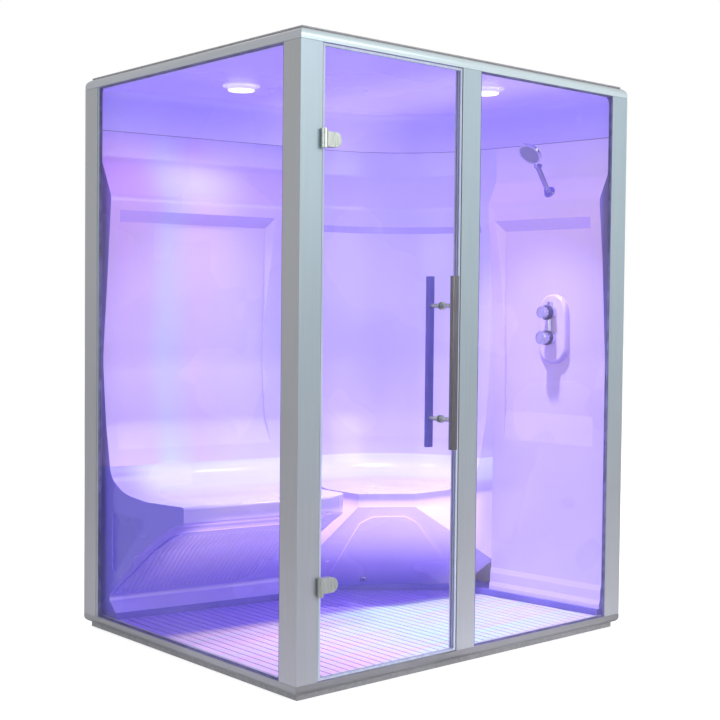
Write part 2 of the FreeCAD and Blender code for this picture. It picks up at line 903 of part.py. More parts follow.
def recess_section(top_reach, waist_reach, hip_reach, foot_reach, grow):
    """Section of a wall's recessed panel with its slanted top; grow widens it for the hollow side."""
    far = 3 * recess_bevel_reach
    inner_top = recess_top_height - recess_bevel_height + grow
    lift = recess_bevel_height * far / recess_bevel_reach
    return [(top_reach - grow, inner_top, 0), (top_reach - grow + far, inner_top + lift, 0),
            (back_nose_reach + far, inner_top + lift, 0),
            (back_nose_reach + far, recess_foot_height - grow, 0),
            (foot_reach - grow, recess_foot_height - grow, 0),
            (hip_reach - grow, back_hip_height, hip_curve_radius),
            (waist_reach - grow, back_waist_height, back_curve_radius)]


def recess_plan(origin, heading, start, end, floor, flare_start, flare_end):
    """Plan of a straight recess, its ends slanting outwards by their flares."""
    side = inward(heading)
    far = 4
    reach = far * recess_bevel_reach
    low = origin + side * floor
    deep = low - side * reach
    high = low + side * reach
    outline = [deep + heading * start, deep + heading * end, low + heading * end,
               high + heading * (end + far * flare_end), high + heading * (start - far * flare_start),
               low + heading * start]
    return slab([(p.x, p.y, 0) for p in outline], 0, cabin_height)


def back_front(offset, grow):
    """Front skin volume of the back wall, its recess cut in."""
    body = wall_run(back_section(offset), back_origin, back_heading, -back_wall_y * sin(radians(
        back_wall_splay)), back_run)
    pocket = wall_run(recess_section(back_recess_top_reach, back_recess_waist_reach,
                                     back_recess_hip_reach, back_foot_reach, grow),
                      back_origin, back_heading, 0, back_run)
    window = recess_plan(back_origin, back_heading, back_recess_start - grow, back_recess_end + grow,
                         back_recess_top_reach - grow, 0, recess_side_bevel)
    return body.cut(pocket.common(window))


def back_wall():
    """Moulded back wall with its recessed backrest panel."""
    cap = moulding_wall
    hollow = back_front(-moulding_wall, moulding_wall).common(
        block(inner_left + cap, module_joint_x - cap, front, 2 * rear, 0, cabin_height))
    shell = back_front(0, 0).cut(hollow)
    shell = shell.cut(block(2 * left, inner_left, front, 2 * rear, 0, cabin_height))
    return shell.cut(block(module_joint_x, right, front, 2 * rear, 0, cabin_height))


def corner_front(offset, grow):
    """Front skin volume of the corner wall, its recess cut in."""
    body = corner_run(corner_section(offset), corner_lead + post_face, corner_tail + post_face)
    lead = corner_lead - corner_recess_margin + grow
    tail = corner_tail - corner_recess_margin + grow
    section = recess_section(corner_recess_top_reach, corner_recess_waist_reach,
                             corner_recess_hip_reach, corner_foot_reach, grow)
    return body.cut(corner_run(section, lead, max(tail, 1.0)))


def corner_wall():
    """Moulded wall that turns the back corner."""
    cap = moulding_wall
    hollow = corner_front(-moulding_wall, moulding_wall).common(
        block(module_joint_x + cap, right, side_module_y + cap, 2 * rear, 0, cabin_height))
    shell = corner_front(0, 0).cut(hollow)
    shell = shell.cut(block(left, module_joint_x, front, 2 * rear, 0, cabin_height))
    return shell.cut(block(0, right, front, side_module_y, 0, cabin_height))


def shower_front(offset, grow):
    """Front skin volume of the shower wall, its recess cut in."""
    body = wall_run(shower_section(offset), side_origin, side_heading, -post_face,
                    side_run + post_face)
    far = 3
    inner_top = recess_top_height - recess_bevel_height + grow
    high = inner_top + far * recess_bevel_height
    room = far * recess_bevel_reach
    section = [(shower_recess_reach - grow, inner_top, 0),
               (shower_recess_reach - grow + room, high, 0),
               (room, shower_recess_foot - grow, 0),
               (-grow, shower_recess_foot - grow, 0),
               (-shower_recess_sink - grow, shower_recess_low - grow, 0),
               (-shower_recess_sink - grow, shower_plain_height, back_curve_radius)]
    pocket = wall_run(section, side_origin, side_heading, 0, side_run)
    window = recess_plan(side_origin, side_heading, shower_recess_start - grow,
                         shower_recess_end + grow, shower_recess_reach - grow,
                         recess_side_bevel, 0)
    return body.cut(pocket.common(window))


def stadium(width, z0, z1, x0, x1):
    """Upright long-round block with its axis along X."""
    half = width / 2
    ends = [rod(vec(x0, valve_y, z), vec(x1, valve_y, z), half) for z in (z0 + half, z1 - half)]
    middle = block(x0, x1, valve_y - half, valve_y + half, z0 + half, z1 - half)
    return middle.fuse(ends).removeSplitter()


def room_side(reach):
    """Everything on the room side of the shower wall line, from a given reach on."""
    side = inward(side_heading)
    base = side_origin + side * reach
    corners = [base - side_heading * post_face, base + side_heading * cabin_depth,
               base + side_heading * cabin_depth + side * cabin_width,
               base - side_heading * post_face + side * cabin_width]
    return slab([(p.x, p.y, 0) for p in corners], 0, cabin_height)


def shower_elbow():
    """Point behind the wall where the riser turns to the flange."""
    return flange_seat() - flange_axis() * elbow_depth


def shower_wall():
    """Moulded shower wall with the oval boss of the valve and the pipe openings."""
    cap = moulding_wall
    hollow = shower_front(-moulding_wall, moulding_wall).common(
        block(0, 2 * right, inner_front + cap, side_module_y - cap, 0, cabin_height))
    shell = shower_front(0, 0).cut(hollow)
    shell = shell.cut(block(0, 2 * right, side_module_y, rear, 0, cabin_height))
    shell = shell.cut(block(0, 2 * right, 2 * front, inner_front, 0, cabin_height))
    boss = stadium(boss_width, boss_bottom, boss_top, boss_front_x, inner_right)
    rim = edges_at(boss, lambda c, e: abs(c.x - boss_front_x) < 0.01)
    boss = boss.makeFillet(boss_edge_radius, rim).common(
        room_side(-shower_recess_sink - moulding_wall / 2))
    shell = shell.fuse(boss).removeSplitter()
    for z in valve_heights:
        shell = shell.cut(rod(vec(left, valve_y, z), vec(right, valve_y, z), spindle_radius))
    seat = flange_seat()
    return shell.cut(rod(seat + flange_axis(), shower_elbow(), outlet_radius))


def roof_block(offset, beyond, z0, z1):
    """Prism over the room's plan; beyond carries it past the glazed sides."""
    back = back_origin - inward(back_heading) * offset
    side = side_front_point - inward(side_heading) * offset
    crossing = meeting(back, back_heading, side, side_heading)
    x0 = inner_left - beyond
    y0 = inner_front - beyond
    far_left = meeting(back, back_heading, vec(x0, 0), vec(0, 1))
    far_front = meeting(side, side_heading, vec(0, y0), vec(1, 0))
    corners = [(x0, y0, 0), (far_front.x, y0, 0), (crossing.x, crossing.y, corner_radius + offset),
               (x0, far_left.y, 0)]
    return slab(corners, z0, z1)


def roof_dome():
    """Moulded ceiling with a skirt down to the wall seam and a coved edge."""
    body = roof_block(moulding_wall, 0, seam_height, ceiling_height + ceiling_thickness)
    room = roof_block(0, post_face, seam_height, ceiling_height)
    limit = ceiling_height - 0.01
    cove = edges_at(room, lambda c, e: c.z > limit and c.x > inner_left and c.y > inner_front)
    body = body.cut(room.makeFillet(cove_radius, cove))
    for x, y in light_places:
        body = body.cut(rod(vec(x, y, ceiling_height), vec(x, y, head_top), light_housing_radius))
    return body


# ---- benches -----------------------------------------------------------------------------------
def back_bench_section(grow):
    """Back bench: cove, seat, fascia, curved undercut and toe."""
    section = [(-moulding_wall, bench_base_height, 0), (-moulding_wall, back_foot_height, 0),
               (back_foot_reach, back_foot_height, 0),
               (back_knee_reach, back_knee_height, back_knee_radius),
               (back_cove_reach, back_cove_height, back_cove_radius),
               (back_seat_middle_reach, back_seat_middle_height, hip_curve_radius),
               (back_seat_depth, back_seat_height, seat_edge_radius),
               (back_seat_depth, back_seat_height - fascia_height, seat_edge_radius),
               (under_upper_reach, under_upper_height, under_upper_radius),
               (under_middle_reach, under_middle_height, 0),
               (under_lower_reach, under_lower_height, 0),
               (under_foot_reach, under_foot_height, under_foot_radius),
               (toe_reach, bench_base_height, 0)]
    face = rounded_face(section, wall_place(back_origin, back_heading, -post_face))
    if grow:
        face = face.makeOffset2D(grow)
    return face.extrude(back_heading * (back_run + 2 * post_face))


def back_bench_plan(inset):
    """Plan of the back bench: square at the glass, rounded at the free end."""
    edge = back_origin + inward(back_heading) * back_seat_depth
    end_front = meeting(edge, back_heading, vec(back_bench_end_x, 0), vec(0, 1))
    end_rear = vec(module_joint_x - bench_gap / 2, joint_point.y)
    beyond = end_rear + (end_rear - end_front).normalize() * post_face
    start = meeting(edge, back_heading, vec(inner_left + inset, 0), vec(0, 1))
    return slab([(start.x, start.y, 0),
                 (end_front.x - inset, end_front.y, max(back_bench_end_radius - inset, 1)),
                 (beyond.x - inset, beyond.y, 0), (start.x, rear, 0)],
                bench_base_height, back_foot_height)


def back_bench():
    """Moulded back bench, hollow and open underneath, with its raised front panel."""
    outer = back_bench_section(0).common(back_bench_plan(0))
    inner = back_bench_section(-bench_wall).common(back_bench_plan(bench_wall))
    window_face = rounded_face([(back_pad_start, back_pad_base, 0),
                                (back_pad_shoulder, back_pad_top, back_pad_radius),
                                (back_pad_end, back_pad_top, back_pad_radius),
                                (back_pad_end, back_pad_base, 0)],
                               lambda p: back_origin + back_heading * p.x + up * p.y)
    window = window_face.extrude(inward(back_heading) * back_seat_depth)
    pad = back_bench_section(pad_height).common(window).common(back_bench_plan(0))
    lowered = inner.copy()
    lowered.translate(vec(0, 0, -bench_wall))
    rear_y = back_wall_y - back_foot_reach
    panel = end_panel(lambda p: vec(inner_left, rear_y - p.x, p.y))
    panel = panel.extrude(vec(end_panel_depth, 0, 0))
    return outer.fuse(pad).cut([inner, lowered, panel]).removeSplitter()


def end_panel(place):
    """Sunken three-cornered panel in a bench's end face."""
    return rounded_face([(end_panel_margin - end_panel_radius, end_panel_top, end_panel_radius),
                         (end_panel_length, end_panel_top, end_panel_radius),
                         (end_panel_margin - end_panel_radius, end_panel_foot, end_panel_radius)],
                        place)


def corner_plan(inset):
    """Plan of the corner bench in front of the wall line."""
    side = side_origin - inward(side_heading) * (moulding_wall - inset)
    side_front = meeting(side, side_heading, vec(0, side_module_y + inset), vec(1, 0))
    back = back_origin - inward(back_heading) * (moulding_wall - inset)
    crossing = meeting(back, back_heading, side, side_heading)
    start = meeting(back, back_heading, vec(module_joint_x + bench_gap / 2 + inset, 0), vec(0, 1))
    edge = vec(corner_side_x - corner_front_x, side_module_y - corner_front_y).normalize()
    depth = vec(-edge.y, edge.x) * inset
    first = meeting(vec(corner_front_x, corner_front_y) + depth, edge,
                    vec(corner_front_x + inset, 0), vec(0, 1))
    second = meeting(vec(corner_front_x, corner_front_y) + depth, edge,
                     vec(0, side_module_y + inset), vec(1, 0))
    return slab([(first.x, first.y, 0), (second.x, second.y, 0), (side_front.x, side_front.y, 0),
                 (crossing.x, crossing.y, corner_radius + moulding_wall - inset),
                 (start.x, start.y, 0)], bench_base_height, corner_foot_height)


def corner_frame():
    """Middle of the corner bench's front edge, its direction and the direction into the corner."""
    start = vec(corner_front_x, corner_front_y)
    edge = vec(corner_side_x, side_module_y) - start
    along = edge.normalize()
    return start, along, vec(-along.y, along.x)


def corner_under(shift):
    """Volume behind the corner bench's slanted front; shift moves the slant outwards."""
    start, along, depth = corner_frame()
    place = lambda p: start + depth * p.x + up * p.y - along * cabin_width
    drop = corner_seat_height - corner_fascia_height - bench_base_height
    slant = sqrt(corner_under_depth ** 2 + drop ** 2)
    out = shift * slant / drop
    rise = drop / corner_under_depth
    top = corner_seat_height - corner_fascia_height
    face = rounded_face([(-out - post_face, top + post_face * rise, 0),
                         (corner_under_depth - out, bench_base_height, 0),
                         (cabin_depth, bench_base_height, 0), (cabin_depth, cabin_height, 0),
                         (-out - post_face, cabin_height, 0)], place)
    return face.extrude(along * 2 * cabin_width)


def corner_seat_volume(inset):
    """Seat, cove and ends of the corner bench before it is hollowed."""
    plan = corner_plan(inset)
    seat = plan.common(block(left, right, front, rear, 0, corner_seat_height - inset))
    section = [(-moulding_wall + inset, corner_seat_height - 2 * inset, 0),
               (-moulding_wall + inset, corner_foot_height - inset, 0),
               (corner_foot_reach - inset, corner_foot_height - inset, 0),
               (corner_knee_reach - inset, corner_knee_height - inset, corner_cove_radius),
               (corner_cove_reach - inset, corner_cove_height - inset, corner_cove_radius),
               (corner_cove_end_reach - inset, corner_seat_height - inset, 0),
               (corner_cove_end_reach - inset, corner_seat_height - 2 * inset - 1, 0)]
    cove = corner_run(section, corner_lead + post_face, corner_tail + post_face).common(plan)
    return seat.fuse(cove).removeSplitter().common(corner_under(-inset))


def corner_bench():
    """Moulded corner bench, hollow and open underneath, with its raised front panel."""
    outer = corner_seat_volume(0)
    inner = corner_seat_volume(bench_wall)
    start, along, depth = corner_frame()
    window_face = rounded_face([(corner_pad_base_start, corner_pad_base, 0),
                                (corner_pad_shoulder_start, corner_pad_shoulder, corner_pad_radius),
                                (corner_pad_top_start, corner_pad_top, corner_pad_radius),
                                (corner_pad_top_end, corner_pad_top, corner_pad_radius),
                                (corner_pad_shoulder_end, corner_pad_shoulder, corner_pad_radius),
                                (corner_pad_base_end, corner_pad_base, 0)],
                               lambda p: start - depth * post_face + along * p.x + up * p.y)
    window = window_face.extrude(depth * cabin_depth)
    room = corner_plan(0).common(corner_under(pad_height))
    pad = room.common(window).cut(corner_under(0))
    lowered = inner.copy()
    lowered.translate(vec(0, 0, -bench_wall))
    side_x = side_origin.x - corner_foot_reach
    panel = end_panel(lambda p: vec(side_x - p.x, side_module_y, p.y))
    panel = panel.extrude(vec(0, end_panel_depth, 0))
    body = outer.fuse(pad).cut([inner, lowered, panel]).removeSplitter()
    return body.cut([steam_bore(steam_pipe_radius), steam_run(steam_pipe_radius, rear),
                     aroma_bore()])


# ---- steam outlet ------------------------------------------------------------------------------
def slant_point(x, height):
    """Point of the corner bench's slanted front and the slant's outward direction."""
    start, along, depth = corner_frame()
    drop = corner_seat_height - corner_fascia_height - bench_base_height
    behind = corner_under_depth * (corner_seat_height - corner_fascia_height - height) / drop
    on_slant = start + depth * behind
    place = meeting(on_slant, along, vec(x, 0), vec(0, 1))
    slant = sqrt(corner_under_depth ** 2 + drop ** 2)
    outward = depth * (-drop / slant) - up * (corner_under_depth / slant)
    return place + up * height, outward


def steam_point():
    """Place of the steam outlet on the slanted front."""
    return slant_point(steam_x, steam_height)


def aroma_bore():
    """Small round opening high on the slanted front."""
    place, outward = slant_point(aroma_x, aroma_height)
    return rod(place - outward * bench_wall * 2, place + outward * pad_height * 2, aroma_radius)


def steam_bore(radius):
    """Round bar through the slanted front at the outlet."""
    place, outward = steam_point()
    return rod(place - outward * steam_cover_radius * 2, place + outward * steam_cover_height, radius)


def steam_elbow():
    """Point behind the outlet where the pipe turns towards the back of the cabin."""
    place, outward = steam_point()
    return place - outward * (steam_cover_radius * 2 + 2 * steam_pipe_radius)


def steam_run(radius, end, start=0.0):
    """Straight run to the back, from the elbow or some way past it."""
    corner = steam_elbow()
    return rod(vec(corner.x, corner.y + start, corner.z), vec(corner.x, end, corner.z), radius)


def steam_outlet():
    """Round steam outlet cover with a slot for the steam and a stub behind the front."""
    place, outward = steam_point()
    seat = place
    cover = rod(seat, seat + outward * steam_cover_height, steam_cover_radius)
    rim = edges_at(cover, lambda c, e: (c - seat).dot(outward) > steam_cover_height / 2
                   and e.Length > steam_cover_radius * 2 * pi - 1)
    cover = cover.makeFillet(steam_cover_height / 3, rim)
    stub = steam_bore(steam_pipe_radius).common(rod(seat - outward * steam_cover_radius * 2, seat,
                                                    steam_cover_radius))
    body = cover.fuse(stub).removeSplitter()
    hollow = rod(seat - outward * steam_cover_radius * 2, seat + outward * steam_cover_height / 2,
                 steam_pipe_radius - steam_pipe_wall)
    return body.cut(hollow).cut(rod(seat, seat + outward * steam_cover_height * 2,
                                    steam_slot_radius / 2))


def steam_pipe():
    """Elbow on the outlet's stub, and the straight pipe to its socket in the rear panel."""
    place, outward = steam_point()
    start = place - outward * steam_cover_radius * 2
    corner = steam_elbow()
    seat = corner.y + steam_fitting_length
    bore = steam_pipe_radius - steam_pipe_wall
    elbow = rod(start, corner, steam_pipe_radius)
    elbow = elbow.fuse([Part.makeSphere(steam_pipe_radius, corner), steam_run(steam_pipe_radius, seat)])
    inside = rod(start, corner, bore).fuse([Part.makeSphere(bore, corner), steam_run(bore, seat)])
    end = rear - panel_set_back
    pipe = steam_run(steam_pipe_radius, end, steam_fitting_length)
    socket = steam_run(steam_socket_radius, end, end - steam_socket_length - corner.y)
    return Part.makeCompound([elbow.cut(inside).removeSplitter(),
                              pipe.cut([steam_run(bore, end), socket])])


# ---- floor -------------------------------------------------------------------------------------
def platform_outline(inset):
    """Front edge of the raised ledge that carries benches and walls, moved into the room."""
    side = inward(side_heading)
    ledge = side_origin + side * (side_ledge_reach + inset)
    front_ledge = meeting(ledge, side_heading, vec(0, inner_front), vec(1, 0))
    points = [(inner_left, ledge_left_y), (ledge_middle_x, ledge_middle_y),
              (ledge_notch_x, ledge_notch_y), (ledge_corner_x, ledge_corner_y),
              (ledge_corner_end_x, ledge_corner_end_y)]
    outline = [(x, y - inset * 1.1, 0) for x, y in points]
    outline.append((ledge.x, side_module_y, 0))
    outline.append((front_ledge.x, inner_front, 0))
    return outline


def floor_tray():
    """Shower tray: flat floor with a raised ledge along the back, the corner and the side."""
    floor = block(inner_left, inner_right, inner_front, inner_rear, tray_underside, tray_top)
    ledge_plan = platform_outline(0) + [(inner_right, inner_front, 0), (inner_right, inner_rear, 0),
                                        (inner_left, inner_rear, 0)]
    ledge = slab(ledge_plan, tray_underside, bench_base_height)
    tray = floor.fuse(ledge).removeSplitter()
    recess = rod(vec(drain_x, drain_y, tray_top - drain_flange_thickness),
                 vec(drain_x, drain_y, bench_base_height), drain_flange_radius)
    hole = rod(vec(drain_x, drain_y, 0), vec(drain_x, drain_y, tray_top), drain_pipe_radius)
    return tray.cut([recess, hole])


def floor_deck():
    """Slatted lift-out floor: slats front to back on cross bearers."""
    inset = deck_clearance
    room_plan = platform_outline(inset)
    room_plan[0] = (inner_left + inset, room_plan[0][1], 0)
    room_plan[-1] = (room_plan[-1][0], inner_front + inset, 0)
    room_plan.append((inner_left + inset, inner_front + inset, 0))
    slat_bottom = deck_top - deck_slat_height
    plate = slab(room_plan, tray_top, deck_top)
    x1 = room_plan[-2][0]
    parts = []
    x = inner_left + inset
    while x < x1:
        parts.append(block(x, x + deck_slat_pitch - deck_slat_gap, inner_front, inner_rear,
                           slat_bottom, deck_top))
        x += deck_slat_pitch
    span = ledge_corner_end_y - inner_front - deck_bearer_width
    for index in range(deck_bearer_count):
        y = inner_front + deck_bearer_width + index * span / deck_bearer_count
        parts.append(block(inner_left, inner_right, y, y + deck_bearer_width, tray_top, slat_bottom))
    y = ledge_middle_y - 2 * deck_bearer_width
    parts.append(block(inner_left, inner_right, y, y + deck_bearer_width, tray_top, slat_bottom))
    drain = rod(vec(drain_x, drain_y, tray_top), vec(drain_x, drain_y, slat_bottom),
                drain_flange_radius)
    return parts[0].fuse(parts[1:]).common(plate).cut(drain)


def drain_body():
    """Drain flange set in the tray with its outlet pipe."""
    flange = rod(vec(drain_x, drain_y, tray_top - drain_flange_thickness),
                 vec(drain_x, drain_y, tray_top), drain_flange_radius)
    pipe = rod(vec(drain_x, drain_y, 0), vec(drain_x, drain_y, tray_top), drain_pipe_radius)
    bore = rod(vec(drain_x, drain_y, 0), vec(drain_x, drain_y, tray_top), drain_bore_radius)
    return flange.fuse(pipe).cut(bore).removeSplitter()


def drain_grate():
    """Perforated cover on the drain flange."""
    top = tray_top + drain_grate_thickness
    plate = rod(vec(drain_x, drain_y, tray_top), vec(drain_x, drain_y, top), drain_flange_radius
                - drain_flange_thickness)
    holes = [rod(vec(drain_x, drain_y, tray_top), vec(drain_x, drain_y, top), drain_hole_radius)]
    for index in range(drain_hole_count):
        angle = radians(360 * index / drain_hole_count)
        x = drain_x + drain_hole_ring * cos(angle)
        y = drain_y + drain_hole_ring * sin(angle)
        holes.append(rod(vec(x, y, tray_top), vec(x, y, top), drain_hole_radius))
    return plate.cut(holes)


# ---- lights ------------------------------------------------------------------------------------
def light_stack(radius, z0, z1):
    """One round piece in each ceiling light."""
    return [rod(vec(x, y, z0), vec(x, y, z1), radius) for x, y in light_places]


def light_rings():
    """Flat ring under the ceiling and the short drum that holds the lens."""
    low = ceiling_height - light_ring_height
    rings = []
    for x, y in light_places:
        ring = rod(vec(x, y, low), vec(x, y, ceiling_height), light_ring_radius)
        rim = edges_at(ring, lambda c, e: c.z < low + 0.01)
        ring = ring.makeFillet(light_ring_height / 2, rim)
        drum = rod(vec(x, y, low - light_drum_height), vec(x, y, low), light_drum_radius)
        rings.append(ring.fuse(drum).removeSplitter())
    return Part.makeCompound(rings)


def light_lenses():
    """Flat round lenses under the drums."""
    high = ceiling_height - light_ring_height - light_drum_height
    lenses = []
    for lens in light_stack(light_lens_radius, high - light_lens_height, high):
        rim = edges_at(lens, lambda c, e: c.z < high - light_lens_height + 0.01)
        lenses.append(lens.makeFillet(light_lens_height / 2, rim))
    return Part.makeCompound(lenses)


def light_housings():
    """Lamp housings above the ceiling."""
    return Part.makeCompound(light_stack(light_housing_radius, ceiling_height,
                                         head_top - light_housing_gap))


# ---- valve -------------------------------------------------------------------------------------
def toward_room(x0, x1, z, radius):
    """Round piece on a valve axis; x runs towards the room as it falls."""
    return rod(vec(x0, valve_y, z), vec(x1, valve_y, z), radius)


def valve_body():
    """Chrome body: two ports joined by a waist, each with a spindle."""
    port_x = boss_front_x - valve_port_length
    collar_x = port_x - collar_length
    parts = []
    for z in valve_heights:
        parts.append(toward_room(boss_front_x, port_x, z, valve_port_radius))
        parts.append(toward_room(mixer_face(), collar_x - spindle_bite, z, spindle_radius))
    middle = boss_front_x - valve_port_length / 2
    parts.append(rod(vec(middle, valve_y, valve_lower_height), vec(middle, valve_y,
                                                                   valve_upper_height),
                     valve_waist_radius).common(block(left, boss_front_x, front, rear, 0,
                                                      cabin_height)))
    z = valve_upper_height + button_height_above_knob
    rise = rod(vec(boss_front_x, valve_y, z), vec(port_x, valve_y, z), button_boss_radius)
    bridge = block(port_x, boss_front_x, valve_y - button_boss_radius, valve_y + button_boss_radius,
                   valve_upper_height, z)
    well = rod(vec(port_x + button_length / 2, valve_y, z), vec(port_x, valve_y, z),
               button_radius + button_clearance)
    return parts[0].fuse(parts[1:] + [rise, bridge]).cut(well).removeSplitter()


def valve_collars():
    """Ribbed dark collars between ports and knobs."""
    port_x = boss_front_x - valve_port_length
    collars = []
    for z in valve_heights:
        collar = toward_room(port_x, port_x - collar_length, z, collar_radius)
        step = collar_length / (collar_groove_count + 1)
        for index in range(collar_groove_count):
            x = port_x - step * (index + 1)
            groove = toward_room(x + collar_groove / 2, x - collar_groove / 2, z, collar_radius)
            groove = groove.cut(toward_room(x + collar_groove, x - collar_groove, z, collar_radius
                                            - collar_groove))
            collar = collar.cut(groove)
        collars.append(collar.cut(toward_room(port_x, port_x - collar_length, z, spindle_radius)))
    return Part.makeCompound(collars)


def knob(z, radius):
    """Round turning knob with grip flutes and a dished face, bored for its spindle."""
    x0 = boss_front_x - valve_port_length - collar_length - knob_gap
    x1 = x0 - knob_length
    body = toward_room(x0, x1, z, radius)
    body = body.makeFillet(knob_edge_radius, edges_at(body, lambda c, e: abs(c.x - x1) < 0.01))
    for index in range(knob_grip_count):
        angle = radians(360 / knob_grip_count * index)
        y = valve_y + radius * cos(angle)
        height = z + radius * sin(angle)
        body = body.cut(rod(vec(x0, y, height), vec(x0 - knob_length / 2, y, height),
                            knob_grip_radius))
    dish = toward_room(x1 + knob_dish_depth, x1, z, radius - knob_dish_margin)
    bore = toward_room(x0, x0 - spindle_bite, z, spindle_radius + spindle_clearance)
    return body.cut([dish, bore])


def stop_button():
    """Small sprung temperature-stop button above the upper knob."""
    port_x = boss_front_x - valve_port_length
    z = valve_upper_height + button_height_above_knob
    start = vec(port_x + button_length / 2 - button_travel, valve_y, z)
    button = rod(start, vec(start.x - button_length, valve_y, z), button_radius)
    tip = edges_at(button, lambda c, e: abs(c.x - start.x + button_length) < 0.01)
    return button.makeFillet(1.0, tip)


def mixer_face():
    """Front face of the concealed mixer block behind the shower wall."""
    side = side_origin - inward(side_heading) * (moulding_wall + shower_recess_sink)
    low = meeting(side, side_heading, vec(0, valve_y - mixer_width / 2), vec(1, 0))
    return low.x


def supply_pipes():
    """Concealed mixer block with its riser, and the hot and cold inlet pipes seated on it."""
    x0 = mixer_face()
    x1 = x0 + mixer_depth
    middle = (valve_lower_height + valve_upper_height) / 2
    mixer = block(x0, x1, valve_y - mixer_width / 2, valve_y + mixer_width / 2,
                  middle - mixer_height / 2, middle + mixer_height / 2)
    elbow = shower_elbow()
    riser = [rod(vec(elbow.x, elbow.y, middle + mixer_height / 2 - pipe_radius), elbow, pipe_radius),
             Part.makeSphere(outlet_radius, elbow), rod(elbow, flange_seat(), outlet_radius)]
    parts = [mixer.fuse(riser).removeSplitter()]
    for side in (-1, 1):
        y = valve_y + side * inlet_spacing / 2
        inlet, bore = [rod(vec(x1, y, middle), vec(right - panel_set_back, y, middle), radius)
                       for radius in (inlet_radius, inlet_radius - inlet_wall)]
        parts.append(inlet.cut(bore))
    return Part.makeCompound(parts)


# ---- shower head -------------------------------------------------------------------------------
def flange_axis():
    """Direction square to the sloped brow of the shower wall, into the room and up."""
    drop = shower_brow_height - shower_nose_height
    slope = sqrt(drop ** 2 + shower_nose_reach ** 2)
    return inward(side_heading) * (drop / slope) + up * (shower_nose_reach / slope)


def flange_seat():
    """Point on the sloped brow where the flange sits."""
    drop = shower_brow_height - shower_height
    reach = shower_nose_reach * drop / (shower_brow_height - shower_nose_height)
    line = side_origin + inward(side_heading) * reach
    place = meeting(line, side_heading, vec(0, shower_y), vec(1, 0))
    return place + up * shower_height


def arm_direction():
    """Direction of the shower arm, leaning from upright towards the room."""
    return vec(-sin(radians(arm_lean)), 0, cos(radians(arm_lean)))


def arm_base():
    """Point where the arm leaves its turning seat."""
    return flange_seat() + flange_axis() * (flange_length + arm_seat_length / 2)


def tilt_point():
    """Point on the head's tilt axis."""
    return arm_base() + arm_direction() * arm_length


def shower_flange():
    """Round wall flange with a throat that carries the arm's turning seat."""
    seat = flange_seat()
    axis = flange_axis()
    half = flange_length / 2
    disc = rod(seat, seat + axis * half / 2, flange_radius)
    cone = Part.makeCone(flange_radius, flange_throat_radius, half / 2, seat + axis * half / 2, axis)
    throat = rod(seat + axis * half, seat + axis * (flange_length - arm_socket_gap),
                 flange_throat_radius)
    return disc.fuse([cone, throat]).removeSplitter()


def shower_arm():
    """Turning seat, arm tube and the fork at its tip with the tilt pin."""
    foot = flange_seat() + flange_axis() * flange_length
    seat = rod(foot, foot + flange_axis() * arm_seat_length, flange_throat_radius)
    rim = edges_at(seat, lambda c, e: (c - foot).dot(flange_axis()) > arm_seat_length - 0.01)
    seat = seat.makeFillet(arm_seat_length / 3, rim)
    tip = tilt_point()
    tube = rod(arm_base(), tip, arm_radius)
    inner = hinge_eye_width / 2 + hinge_eye_gap
    outer = inner + fork_cheek
    cheeks = rod(tip - vec(0, outer, 0), tip + vec(0, outer, 0), hinge_eye_radius)
    slot = rod(tip - vec(0, inner, 0), tip + vec(0, inner, 0), hinge_eye_radius + 2 * hinge_eye_gap)
    pin = rod(tip - vec(0, outer, 0), tip + vec(0, outer, 0), tilt_pin_radius)
    return seat.fuse([tube, cheeks]).cut(slot).fuse(pin).removeSplitter()


def head_normal():
    """Direction the spray face looks."""
    return vec(-cos(radians(head_face_tilt)), 0, -sin(radians(head_face_tilt)))


def head_upward():
    """Direction in the spray face that points away from the arm."""
    return vec(-sin(radians(head_face_tilt)), 0, cos(radians(head_face_tilt)))


def head_centre():
    """Middle of the spray face."""
    return tilt_point() + head_upward() * head_offset + head_normal() * head_advance


def shower_head():
    """Domed head shell with a neck and the tilting eye."""
    centre = head_centre()
    normal = head_normal()
    radius = head_radius - spray_ring_width - spray_ring_clearance
    back = centre - normal * head_shell_thickness
    drum = rod(back, centre, radius)
    dome = Part.makeCone(radius, head_radius / 2, head_dome_height, back, normal * -1)
    tip = tilt_point()
    eye = rod(tip - vec(0, hinge_eye_width / 2, 0), tip + vec(0, hinge_eye_width / 2, 0),
              hinge_eye_radius)
    neck = rod(tip, back - normal * head_dome_height / 2, hinge_eye_width / 2)
    bore = rod(tip - vec(0, hinge_eye_width, 0), tip + vec(0, hinge_eye_width, 0),
               tilt_pin_radius + tilt_pin_clearance)
    plate = rod(centre - normal * face_plate_thickness, centre, face_plate_radius)
    groove = rod(centre - normal * (spray_ring_height + arm_socket_gap), centre, head_radius)
    groove = groove.cut(rod(centre - normal * head_shell_thickness, centre, radius))
    return drum.fuse([dome, eye, neck]).cut([bore, plate, groove]).removeSplitter()


def shower_face():
    """Spray plate with rings of soft nozzles."""
    centre = head_centre()
    normal = head_normal()
    plate = rod(centre - normal * face_plate_thickness, centre, face_plate_radius)
    across = vec(0, 1, 0)
    along = normal.cross(across)
    nozzles = []
    for ring in range(1, nozzle_ring_count + 1):
        count = 6 * ring
        for index in range(count):
            angle = 2 * pi * index / count
            spot = across * cos(angle) + along * sin(angle)
            foot = centre + spot * (ring * nozzle_ring_spacing)
            nozzles.append(rod(foot - normal * nozzle_radius, foot + normal * nozzle_height,
                               nozzle_radius))
    return plate.fuse(nozzles).removeSplitter()


